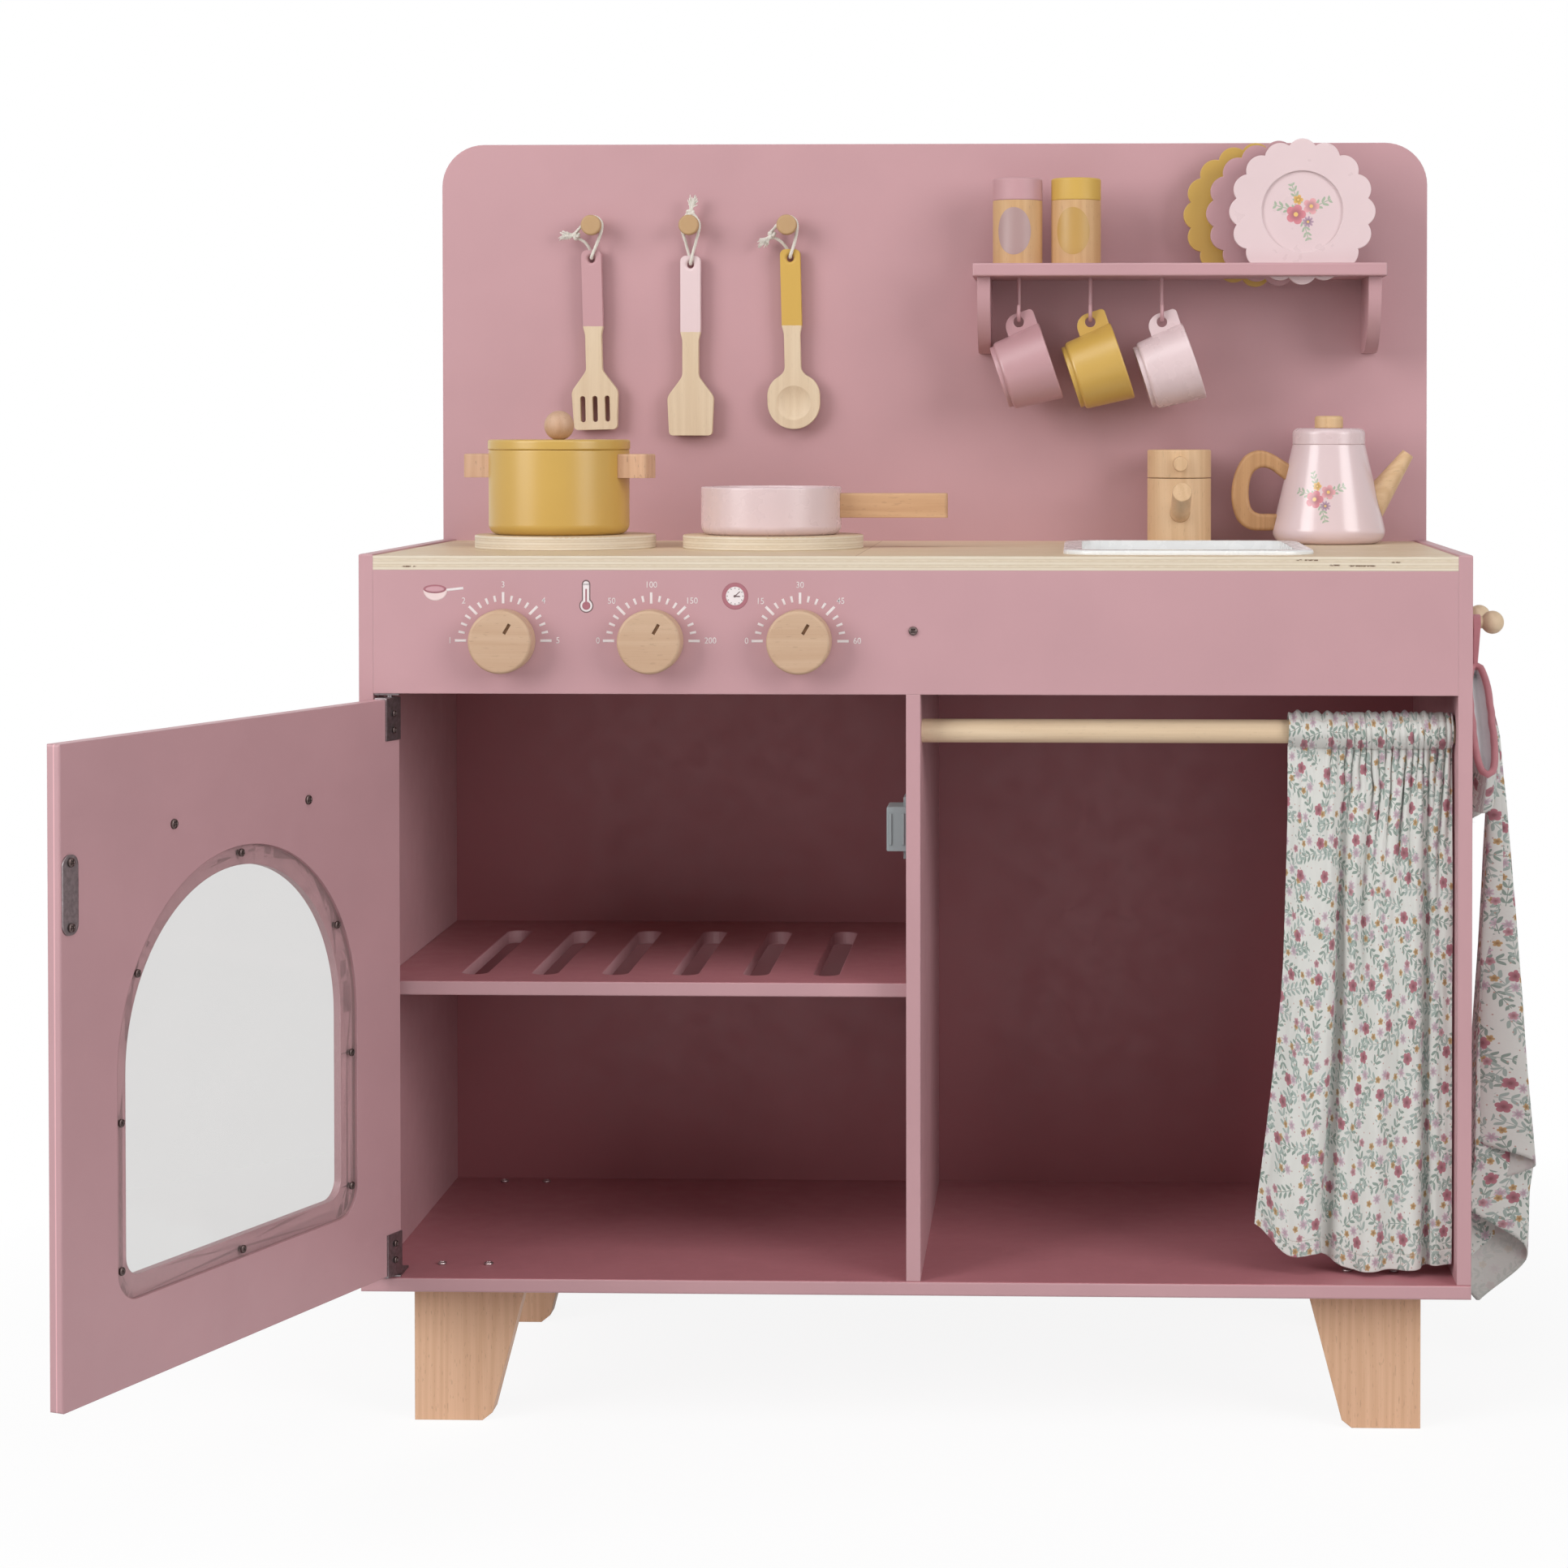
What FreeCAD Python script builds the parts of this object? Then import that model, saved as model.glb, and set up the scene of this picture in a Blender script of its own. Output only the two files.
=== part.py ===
import FreeCAD
import Part
import math
import os

Vec = FreeCAD.Vector
UP = Vec(0, 0, 1)
DOWN = Vec(0, 0, -1)
RIGHT = Vec(1, 0, 0)
FORWARD = Vec(0, -1, 0)
BACKWARD = Vec(0, 1, 0)

# Wooden toy kitchen: sizes in millimetres.
# The origin lies on the floor under the middle of the cabinet, +X to the right, -Y to the front.

# Carcass
WIDTH = 700.0
DEPTH = 285.0
BODY_HEIGHT = 467.0
SPLASH_RISE = 281.0
BOARD = 9.0
WORKTOP_DROP = 1.0
WORKTOP_THICK = 9.0
FASCIA_HEIGHT = 78.0
BOTTOM_LIP = 1.0
EDGE_ROUND = 1.2
SPLASH_CORNER = 30.0
DIVIDER_X = 0.0

# Legs
LEG_HEIGHT = 89.0
LEG_THICK = 18.0
LEG_TOP_WIDTH = 72.0
LEG_FOOT_WIDTH = 43.5
LEG_CHAMFER = 5.0
LEG_SIDE_INSET = 29.0
LEG_FRONT_INSET = 25.0
LEG_BACK_INSET = 12.0
LEG_SCREW_EDGE = 16.0
LEG_SCREW_PITCH = 30.0

# Running fit of pins and stems, and clearance of loose pieces
RUNNING_FIT = 0.05
LOOSE_FIT = 0.3

# Small roundings, and the greatest bulge of a cloth fold as a share of its width
SMALL_ROUND = 0.6
TURNED_ROUND = 0.8
RIM_ROUND = 1.0
FOLD_ROUNDNESS = 0.42

# Wood screws
SCREW_R = 1.6
SCREW_HEAD_R = 3.2
SCREW_HEAD_H = 1.5
SCREW_LENGTH = 6.0
LEG_SCREW_LENGTH = 28.0
FASCIA_SCREW_LENGTH = 24.0
FASCIA_SCREW_RISE = 40.0

# Oven rack
RACK_RISE = 185.0
RACK_THICK = 9.0
RACK_SETBACK = 19.0
RACK_SLOTS = 6
RACK_SLOT_WIDTH = 11.5
RACK_SLOT_FRONT = 27.0
RACK_SLOT_BACK = 46.0
RACK_SLOT_PITCH = 46.2

# Door
PIVOT_INSET = 9.5
HINGE_EDGE = 4.0
DOOR_FREE_GAP = 1.5
DOOR_TOP_GAP = 3.5
DOOR_BOTTOM_GAP = 2.5
DOOR_OPEN = 111.5
WINDOW_MARGIN = 48.0
WINDOW_SILL = 47.5
WINDOW_CROWN_DROP = 73.75
WINDOW_MIDDLE_SCREW = 25.2
HAUNCH_ANGLE = 60.0
WINDOW_CORNER = 18.0
WINDOW_LEDGE = 12.0
WINDOW_REBATE = 4.0
PANE_THICK = 2.5
WINDOW_SCREW_INSET = 4.5
HANDLE_DROP = 54.0
HANDLE_PITCH = 131.0
HANDLE_OVERHANG = 12.0
HANDLE_BAR_R = 7.0
HANDLE_POST_R = 5.5
HANDLE_REACH = 24.0
HANDLE_BOLT_LENGTH = 22.0

# Pivot hinges
LEAF_THICK = 1.2
DOOR_LEAF_THICK = 1.0
LEAF_WIDTH = 16.0
LEAF_HEIGHT = 26.0
LEAF_DEPTH = 26.0
LEAF_SCREW_NEAR = 9.1
LEAF_SCREW_FAR = 19.5
LEAF_SCREW_MARGIN = 1.0
PIN_R = 1.9
PIN_LENGTH = 8.0

# Magnetic catch and its strike plate
CATCH_DROP = 86.0
CATCH_HEIGHT = 28.0
CATCH_REACH = 13.0
CATCH_DEPTH = 26.0
CATCH_FLANGE = 5.5
CATCH_FLANGE_THICK = 2.5
POLE_THICK = 1.6
POLE_PROUD = 0.8
POLE_GAP = 4.0
STRIKE_WIDTH = 13.0
STRIKE_HEIGHT = 44.0
STRIKE_THICK = 1.0
STRIKE_EDGE = 1.2
STRIKE_CORNER = 5.85
STRIKE_SCREW_EDGE = 4.2
CATCH_GAP = 0.4

# Control knobs
KNOB_R = 20.0
KNOB_LENGTH = 17.5
KNOB_ROUND = 2.0
KNOB_STEM_R = 4.0
KNOB_PITCH = 93.5
KNOB_OFFSET = 8.25
KNOB_RISE = 33.6
KNOB_RETAINER_R = 6.5
POINTER_LENGTH = 7.0
POINTER_WIDTH = 2.0
POINTER_DEPTH = 1.0
POINTER_START = 6.0
POINTER_TURN = 30.0

# Curtain rod and curtain
ROD_R = 7.5
ROD_SETBACK = 22.0
ROD_DROP = 24.5
ROD_SEAT = 5.0
CURTAIN_TOP_WIDTH = 103.5
CURTAIN_WAIST_WIDTH = 106.5
CURTAIN_HEM_WIDTH = 124.0
CURTAIN_WAIST_RISE = 190.0
CURTAIN_FOLD_SHARES = (0.29, 0.11, 0.36, 0.10, 0.14)
CURTAIN_THICK = 3.0
CURTAIN_TOP_FOLD = 4.0
CURTAIN_HEM_FOLD = 6.0
CURTAIN_HEADER = 2.0
CURTAIN_HEM_GAP = 3.0
CURTAIN_SIDE_GAP = 1.5
CHANNEL_WALL = 3.0
CHANNEL_SHOULDER = 8.1

# Hob discs
HOB_R = 60.5
HOB_THICK = 9.0
HOB_OFFSET = 1.55
HOB_PITCH = 140.0
HOB_Y = 0.0

# Cooking pot
POT_R = 47.0
POT_HEIGHT = 57.0
POT_WALL = 5.0
POT_FLOOR = 6.0
POT_ROUND = 7.0
POT_SHIFT = -4.3
POT_TURN = -14.0
POT_LID_R = 47.5
POT_LID_THICK = 6.6
POT_PLUG_THICK = 3.0
POT_LID_ROUND = 1.6
POT_KNOB_R = 10.0
POT_KNOB_FLAT = 9.4
POT_GRIP_REACH = 19.5
POT_GRIP_WIDTH = 20.0
POT_GRIP_HEIGHT = 16.0
POT_GRIP_RISE = 46.0
POT_GRIP_ROUND = 4.0
GRIP_SEAT = 4.0

# Frying pan
PAN_R = 47.0
PAN_HEIGHT = 32.0
PAN_WALL = 5.0
PAN_FLOOR = 6.0
PAN_ROUND = 6.0
PAN_SHIFT = -1.3
PAN_GRIP_REACH = 71.5
PAN_GRIP_WIDTH = 12.0
PAN_GRIP_HEIGHT = 16.4
PAN_GRIP_RISE = 19.5
PAN_GRIP_ROUND = 2.5

# Sink and tap
SINK_OFFSET = 1.25
SINK_WIDTH = 160.0
SINK_LENGTH = 190.0
SINK_SETBACK = 22.0
SINK_RIM = 10.0
SINK_RIM_THICK = 3.0
SINK_WALL = 2.0
SINK_BOWL_DEPTH = 52.0
SINK_CORNER = 26.0
SINK_RIM_ROUND = 1.8
SINK_FOOT_ROUND = 9.6
SINK_CUT_GAP = 0.5
TAP_R = 22.2
TAP_SETBACK = 36.0
TAP_BODY_HEIGHT = 45.3
TAP_CAP_HEIGHT = 19.5
TAP_SEAM = 0.4
TAP_AXLE_R = 5.0
TAP_AXLE_LENGTH = 12.0
SPOUT_R = 6.7
SPOUT_REACH = 46.0
SPOUT_ROOT = 22.0
SPOUT_RISE = 18.0
SPOUT_SEAT = 10.0
LEVER_R = 5.1
LEVER_REACH = 14.0
LEVER_SEAT = 10.0

# Teapot
TEAPOT_FROM_SINK = 103.7
TEAPOT_SETBACK = 43.0
TEAPOT_BASE_R = 41.4
TEAPOT_TOP_R = 25.1
TEAPOT_HEIGHT = 68.8
TEAPOT_WALL = 5.0
TEAPOT_FLOOR = 6.0
TEAPOT_ROUND = 9.0
TEAPOT_LID_HEIGHT = 11.4
TEAPOT_PLUG = 4.0
TEAPOT_LID_ROUND = 4.0
TEAPOT_KNOB_R = 9.8
TEAPOT_KNOB_HEIGHT = 8.5
TEAPOT_KNOB_ROUND = 2.0
TEAPOT_GRIP_THICK = 12.0
TEAPOT_GRIP_REACH = 37.5
TEAPOT_GRIP_BAR = 14.5
TEAPOT_GRIP_FOOT = 8.0
TEAPOT_GRIP_SEAT = 4.0
TEAPOT_GRIP_WAIST = 39.9
TEAPOT_GRIP_SHOULDER = 20.6
TEAPOT_GRIP_HEEL = 30.0
TEAPOT_GRIP_TOP_GAP = 12.75
TEAPOT_GRIP_FOOT_GAP = 18.75
TEAPOT_GRIP_ROOT = 13.5
TEAPOT_GRIP_DIP = 6.5
TEAPOT_GRIP_ROUND = 14.0
TEAPOT_GRIP_BACK_ROUND = 17.0
TEAPOT_GRIP_INNER_ROUND = 7.0
TEAPOT_SPOUT_LENGTH = 52.0
TEAPOT_SPOUT_ROOT_R = 11.5
TEAPOT_SPOUT_TIP_R = 4.3
TEAPOT_SPOUT_ANGLE = 55.0
TEAPOT_SPOUT_RISE = 20.0

# Spice shelf
SHELF_WIDTH = 285.0
SHELF_DEPTH = 70.0
SHELF_RISE = 193.0
SHELF_THICK = 9.0
SHELF_RIGHT_INSET = 34.5
BRACKET_INSET = 3.0
BRACKET_DEPTH = 62.0
BRACKET_DROP = 52.0
BRACKET_CURVE = 44.0

# Cup hooks and cups
HOOK_FIRST = 31.5
HOOK_PITCH = 49.8
HOOK_SETBACK = 37.0
HOOK_WIRE_R = 1.3
HOOK_BEND_R = 5.5
HOOK_DROP = 31.0
HOOK_TIP = 5.0
CUP_RIM_R = 27.5
CUP_BASE_R = 24.0
CUP_HEIGHT = 38.0
CUP_WALL = 3.5
CUP_FLOOR = 5.0
CUP_FOOT_R = 22.0
CUP_FOOT_HEIGHT = 3.0
CUP_TILT = 18.5
CUP_ROUND = 2.5
CUP_WELL_ROUND = 3.0
CUP_EAR_THICK = 4.5
CUP_EAR_HEIGHT = 13.0
CUP_EAR_LENGTH = 23.0
CUP_EAR_ROUND = 9.0
CUP_EAR_CREST_ROUND = 3.0
CUP_EAR_RIM_GAP = 1.0
CUP_EYE_R = 3.6
CUP_EYE_DEPTH = 13.0
CUP_EYE_HEIGHT = 6.6

# Shakers
SHAKER_R = 17.3
SHAKER_BODY = 44.7
SHAKER_CAP = 15.3
SHAKER_FIRST = 30.6
SHAKER_PITCH = 40.8
SHAKER_SETBACK = 38.0
SHAKER_ROUND = 1.5
SHAKER_SEAM = 0.6

# Scalloped plates standing in slots of the shelf, from the wall to the front
PLATE_R = 50.4
PLATE_LOBE = 4.2
PLATE_LOBES = 16
PLATE_THICK = 6.0
PLATE_SINK = 14.6
PLATE_WELL_R = 28.2
PLATE_WELL_DEPTH = 1.6
PLATE_FIRST_END = 87.8
PLATE_STEP_X = 15.2
PLATE_FIRST_SETBACK = 18.5
PLATE_STEP_Y = 17.8

# Wall pegs and utensils on cord loops
PEG_OFFSET = 1.15
PEG_PITCH = 69.3
PEG_RISE = 222.7
PEG_R = 5.0
PEG_HEAD_R = 7.2
PEG_HEAD = 5.0
PEG_REACH = 21.0
PEG_SEAT = 6.0
PEG_ROUND = 1.5
TOOL_THICK = 6.0
TOOL_WALL_GAP = 4.0
TOOL_HANGS = (17.2, 21.3, 16.7)
TOOL_SHIFTS = (-1.2, 0.0, 1.6)
TOOL_LEANS = (-1.4, 0.0, -1.4)
TOOL_LENGTH = 127.5
TOOL_GRIP_WIDTH = 14.3
TOOL_GRIP_LENGTH = 54.0
TOOL_NECK_WIDTH = 11.5
TOOL_NECK_TAPER = 6.0
TOOL_NECK_ROUND = 3.0
HEAD_ROUND = 7.0
TOOL_EYE_R = 2.4
TOOL_EYE_EDGE = 6.5
TOOL_EYE_ROUND = 2.3
BLADE_WIDTH = 33.0
BLADE_LENGTH = 42.0
BLADE_SHOULDER = 14.5
BLADE_CORNER = 3.0
BLADE_FOOT_WIDTH = 30.5
BLADE_SLOTS = 3
BLADE_SLOT_WIDTH = 3.6
BLADE_SLOT_LENGTH = 18.5
BLADE_SLOT_PITCH = 8.7
BLADE_SLOT_EDGE = 5.5
SPOON_R = 18.6
SPOON_NECK_FLARE = 2.0
SPOON_SHOULDER_R = 15.81
SPOON_HOLLOW_R = 30.0
SPOON_HOLLOW_DEPTH = 2.6
CORD_R = 1.2
GRIP_CORNER = 4.0

# Cord routes from the peg's axis at the wall: knot, over the peg, through the eye and back to the knot
CORD_ROUTES = {
    "cord_slotted_turner": (
        (-13.0, -9.5, -5.5), (-7.1, -9.0, 0.6), (-4.1, -9.0, 5.9), (1.9, -9.3, 6.9), (6.5, -9.6, 3.0),
        (6.6, -10.0, -3.0), (3.2, -11.0, -12.5), (-1.2, -11.5, -22.8), (-1.3, -2.5, -22.8),
        (-4.4, -5.0, -11.5), (-11.0, -8.0, -8.6)),
    "cord_flat_turner": (
        (1.5, -9.5, 9.0), (5.1, -9.5, 5.1), (7.1, -10.0, -0.6), (4.0, -11.0, -12.0), (0.1, -11.5, -26.9),
        (-0.1, -2.4, -26.9), (-4.2, -2.8, -11.0), (-7.1, -6.0, -0.6), (-5.1, -8.0, 5.1), (-1.5, -8.5, 9.0)),
    "cord_stirring_spoon": (
        (-12.5, -9.5, -5.0), (-7.1, -9.0, 0.6), (-4.1, -9.0, 5.9), (1.9, -9.3, 6.9), (6.5, -9.6, 3.0),
        (6.8, -10.0, -3.0), (5.0, -11.0, -12.5), (1.6, -11.5, -22.3), (1.5, -2.5, -22.3),
        (-3.0, -5.0, -11.5), (-10.2, -8.0, -8.2)),
}

# Side pegs with the oven mitt and the tea towel
SIDE_PEG_MIDDLE = -4.0
SIDE_PEG_PITCH = 71.0
SIDE_PEG_DROP = 48.0
SIDE_PEG_R = 4.0
SIDE_PEG_BALL_R = 7.6
SIDE_PEG_REACH = 25.0
LOOP_THICK = 1.6
LOOP_WIDTH = 5.0
LOOP_LENGTH = 27.0
LOOP_OUT = 12.0
MITT_THICK = 22.0
MITT_CUFF = 102.0
MITT_LENGTH = 116.0
MITT_CROWN = 12.0
MITT_SEAM = 6.0
MITT_TURN = 45.0
MITT_WALL = 4.0
MITT_SIDE_GAP = 2.0
MITT_POCKET = 96.0
TOWEL_SIDE_GAP = 4.0
TOWEL_THICK = 3.0
TOWEL_FLOOR_GAP = 41.8
TOWEL_HALF_FOLDS = 4
TOWEL_FOLD = 7.0

# Towel's spread at each share of its diagonal: front and back from the peg, inside and outside from the panel
TOWEL_SPREAD = (
    (0.00, -7.0, 8.0, 9.0, 12.5),
    (0.12, -12.0, 18.0, 5.0, 25.0),
    (0.30, -14.0, 26.0, 6.0, 34.0),
    (0.62, -24.0, 34.0, 8.0, 44.0),
    (0.77, -26.0, 36.0, 9.0, 49.0),
    (0.83, -20.0, 30.0, 16.0, 45.0),
    (0.92, -12.0, 20.0, 26.0, 45.0),
    (1.00, -4.0, 8.0, 28.0, 33.0),
)

# Levels and faces that the pieces share
FRONT = -DEPTH / 2
WALL = DEPTH / 2 - BOARD
INNER = WIDTH / 2 - BOARD
FLOOR = LEG_HEIGHT + BOARD
SIDE_TOP = LEG_HEIGHT + BODY_HEIGHT
HEIGHT = SIDE_TOP + SPLASH_RISE
DECK = SIDE_TOP - WORKTOP_DROP
FASCIA_TOP = DECK - WORKTOP_THICK
FASCIA_BOTTOM = FASCIA_TOP - FASCIA_HEIGHT
HOB_TOP = DECK + HOB_THICK
SHELF_TOP = SIDE_TOP + SHELF_RISE
SHELF_RIGHT = WIDTH / 2 - SHELF_RIGHT_INSET
SHELF_LEFT = SHELF_RIGHT - SHELF_WIDTH
ROD_Y = FRONT + ROD_SETBACK
ROD_Z = FASCIA_BOTTOM - ROD_DROP
SINK_Y = FRONT + SINK_SETBACK + SINK_LENGTH / 2
TAP_Y = WALL - TAP_SETBACK
TEAPOT_Y = WALL - TEAPOT_SETBACK
PEG_Z = SIDE_TOP + PEG_RISE
SIDE_PEG_Z = SIDE_TOP - SIDE_PEG_DROP
TOWEL_TOP = SIDE_PEG_Z - LOOP_LENGTH + LOOP_THICK / 2
CATCH_Z = FASCIA_BOTTOM - CATCH_DROP
DIVIDER_LEFT = DIVIDER_X - BOARD / 2
DIVIDER_RIGHT = DIVIDER_X + BOARD / 2
LEFT_BAY = (DIVIDER_LEFT - INNER) / 2
RIGHT_BAY = (DIVIDER_RIGHT + INNER) / 2
SINK_X = RIGHT_BAY + SINK_OFFSET
TEAPOT_X = SINK_X + TEAPOT_FROM_SINK
PIVOT = Vec(-INNER + PIVOT_INSET, FRONT + BOARD / 2, 0)
DOOR_FREE = DIVIDER_LEFT - DOOR_FREE_GAP - PIVOT.x
DOOR_BOTTOM = FLOOR + DOOR_BOTTOM_GAP
DOOR_TOP = FASCIA_BOTTOM - DOOR_TOP_GAP
DOOR_MIDDLE = (DOOR_FREE - HINGE_EDGE) / 2
WINDOW_HALF = (DOOR_FREE + HINGE_EDGE) / 2 - WINDOW_MARGIN
WINDOW_BOTTOM = DOOR_BOTTOM + WINDOW_SILL
WINDOW_SPRING = DOOR_TOP - WINDOW_CROWN_DROP - WINDOW_HALF


def box(x0, x1, y0, y1, z0, z1):
    return Part.makeBox(x1 - x0, y1 - y0, z1 - z0, Vec(x0, y0, z0))


def rounded_wire(corners, place):
    """Closed wire through corners (a, b, radius); place turns (a, b) into a point in space."""
    entries, leaves, edges = [], [], []
    for i, (a, b, radius) in enumerate(corners):
        here = Vec(a, b, 0)
        back = (Vec(*corners[i - 1][:2], 0) - here).normalize()
        ahead = (Vec(*corners[(i + 1) % len(corners)][:2], 0) - here).normalize()
        half = back.getAngle(ahead) / 2
        reach = radius / math.tan(half)
        entry, leave = here + back * reach, here + ahead * reach
        entries.append(place(entry.x, entry.y))
        leaves.append(place(leave.x, leave.y))
        if radius > 0:
            middle = here + (back + ahead).normalize() * (radius / math.sin(half) - radius)
            arc = Part.Arc(entries[-1], place(middle.x, middle.y), leaves[-1])
            edges.append((i, arc.toShape()))
    wire = []
    for i in range(len(corners)):
        wire += [edge for owner, edge in edges if owner == i]
        start, end = leaves[i], entries[(i + 1) % len(corners)]
        if (end - start).Length > 1e-6:
            wire.append(Part.makeLine(start, end))
    return Part.Wire(wire)


def plate_xz(corners, y0, y1):
    wire = rounded_wire(corners, lambda a, b: Vec(a, y0, b))
    return Part.Face(wire).extrude(Vec(0, y1 - y0, 0))


def plate_yz(corners, x0, x1):
    wire = rounded_wire(corners, lambda a, b: Vec(x0, a, b))
    return Part.Face(wire).extrude(Vec(x1 - x0, 0, 0))


def plate_xy(corners, z0, z1):
    wire = rounded_wire(corners, lambda a, b: Vec(a, b, z0))
    return Part.Face(wire).extrude(Vec(0, 0, z1 - z0))


def rectangle(a_middle, b_middle, a_size, b_size, radius):
    a, b = a_size / 2, b_size / 2
    return [(a_middle - a, b_middle - b, radius), (a_middle + a, b_middle - b, radius),
            (a_middle + a, b_middle + b, radius), (a_middle - a, b_middle + b, radius)]


def turned(profile, x=0.0, y=0.0):
    """Solid of revolution about a vertical axis from (radius, height, round) corners."""
    wire = rounded_wire(profile, lambda r, z: Vec(x + r, y, z))
    return Part.Face(wire).revolve(Vec(x, y, 0), UP, 360)


def softened(shape, radius, wanted):
    """The shape with the edges that wanted(edge) picks rounded off."""
    return shape.makeFillet(radius, [edge for edge in shape.Edges if wanted(edge)])


def lies_at(axis, value):
    """Picks edges that lie wholly in the plane where the axis has the value."""
    def wanted(edge):
        return all(abs(getattr(vertex.Point, axis) - value) < 1e-4 for vertex in edge.Vertexes)
    return wanted


def screw(seat, direction, length):
    head = Part.makeCylinder(SCREW_HEAD_R, SCREW_HEAD_H, seat, direction * -1)
    return head.fuse(Part.makeCylinder(SCREW_R, length, seat, direction)).removeSplitter()


def screw_bore(seat, direction, length):
    return Part.makeCylinder(SCREW_R + RUNNING_FIT, length + LOOSE_FIT, seat, direction)


def cut_bores(shape, screws):
    for seat, direction, length in screws:
        shape = shape.cut(screw_bore(seat, direction, length))
    return shape


def leg_places():
    """Outer edge X, side sign and front face Y of the four legs."""
    outer = WIDTH / 2 - LEG_SIDE_INSET
    rear = DEPTH / 2 - LEG_BACK_INSET - LEG_THICK
    return [(side * outer, side, y) for y in (FRONT + LEG_FRONT_INSET, rear) for side in (-1, 1)]


def leg_screws():
    found = []
    for outer, side, y in leg_places():
        for step in range(2):
            x = outer - side * (LEG_SCREW_EDGE + step * LEG_SCREW_PITCH)
            found.append((Vec(x, y + LEG_THICK / 2, FLOOR), DOWN, LEG_SCREW_LENGTH))
    return found


def fascia_screw():
    return [(Vec(DIVIDER_X, FRONT, FASCIA_BOTTOM + FASCIA_SCREW_RISE), BACKWARD, FASCIA_SCREW_LENGTH)]


def knob_places():
    return [LEFT_BAY + KNOB_OFFSET + step * KNOB_PITCH for step in (-1, 0, 1)]


def hinge_levels():
    """Level of each fixed leaf's outer face, and the way from it towards the door."""
    return [(FLOOR, 1), (FASCIA_BOTTOM, -1)]


def fixed_leaf_screws():
    y = FRONT + LEAF_DEPTH - SCREW_HEAD_R - LEAF_SCREW_MARGIN
    x = -INNER + LEAF_THICK
    return [(Vec(x, y, level + way * rise), Vec(-1, 0, 0), SCREW_LENGTH)
            for level, way in hinge_levels() for rise in (LEAF_SCREW_NEAR, LEAF_SCREW_FAR)]


def door_leaf_screws():
    """Screws through the door's hinge leaves, in the closed door's own frame."""
    seat_y = BOARD / 2 + DOOR_LEAF_THICK
    u = LEAF_WIDTH / 2 - HINGE_EDGE
    return [(Vec(u, seat_y, level + way * rise), FORWARD, SCREW_LENGTH)
            for level, way in ((DOOR_BOTTOM, 1), (DOOR_TOP, -1))
            for rise in (LEAF_SCREW_NEAR, LEAF_SCREW_FAR)]


def window_screws():
    """Eight screws round the pane: crown, haunches, middle of the walls, foot of the walls and sill."""
    radius = WINDOW_HALF - WINDOW_SCREW_INSET
    spring = WINDOW_SPRING
    haunch = math.radians(HAUNCH_ANGLE)
    wall_mid = spring - WINDOW_MIDDLE_SCREW
    wall_foot = WINDOW_BOTTOM + WINDOW_CORNER
    spots = [(0, spring + radius), (0, WINDOW_BOTTOM + WINDOW_SCREW_INSET)]
    for side in (-1, 1):
        spots += [(side * radius * math.sin(haunch), spring + radius * math.cos(haunch)),
                  (side * radius, wall_mid), (side * radius, wall_foot)]
    seat_y = BOARD / 2 - WINDOW_REBATE + PANE_THICK
    return [(Vec(DOOR_MIDDLE + a, seat_y, z), FORWARD, SCREW_LENGTH) for a, z in spots]


def handle_bolts():
    z = DOOR_TOP - HANDLE_DROP
    return [(Vec(DOOR_MIDDLE + side * HANDLE_PITCH / 2, BOARD / 2, z), FORWARD, HANDLE_BOLT_LENGTH)
            for side in (-1, 1)]


def strike_middle():
    return DOOR_FREE - STRIKE_EDGE - STRIKE_WIDTH / 2


def strike_screws():
    seat_y = BOARD / 2 + STRIKE_THICK
    reach = STRIKE_HEIGHT / 2 - STRIKE_SCREW_EDGE
    return [(Vec(strike_middle(), seat_y, CATCH_Z + side * reach), FORWARD, SCREW_LENGTH) for side in (-1, 1)]


def side_panel(side):
    outer, inner = side * WIDTH / 2, side * INNER
    panel = box(min(outer, inner), max(outer, inner), FRONT, WALL, FLOOR, SIDE_TOP)
    panel = softened(panel, EDGE_ROUND, lies_at("z", SIDE_TOP))
    if side > 0:
        panel = panel.cut(Part.makeCylinder(ROD_R + RUNNING_FIT, ROD_SEAT, Vec(INNER, ROD_Y, ROD_Z), RIGHT))
        for y in side_peg_places():
            seat = Vec(INNER, y, SIDE_PEG_Z)
            panel = panel.cut(Part.makeCylinder(SIDE_PEG_R + RUNNING_FIT, BOARD, seat, RIGHT))
        return panel
    return cut_bores(panel, fixed_leaf_screws())


def bottom_panel():
    panel = box(-WIDTH / 2, WIDTH / 2, FRONT - BOTTOM_LIP, WALL, LEG_HEIGHT, FLOOR)
    panel = softened(panel, EDGE_ROUND, lies_at("y", FRONT - BOTTOM_LIP))
    return cut_bores(panel, leg_screws())


def divider_panel():
    lower = box(DIVIDER_LEFT, DIVIDER_RIGHT, FRONT, WALL, FLOOR, FASCIA_BOTTOM)
    upper = box(DIVIDER_LEFT, DIVIDER_RIGHT, FRONT + BOARD, WALL, FASCIA_BOTTOM, FASCIA_TOP)
    panel = lower.fuse(upper).removeSplitter()
    seat = Vec(DIVIDER_RIGHT, ROD_Y, ROD_Z)
    panel = panel.cut(Part.makeCylinder(ROD_R + RUNNING_FIT, ROD_SEAT, seat, Vec(-1, 0, 0)))
    return cut_bores(panel, fascia_screw())


def cabinet_back():
    return box(-WIDTH / 2, WIDTH / 2, WALL, WALL + BOARD, LEG_HEIGHT, FASCIA_BOTTOM)


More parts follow.
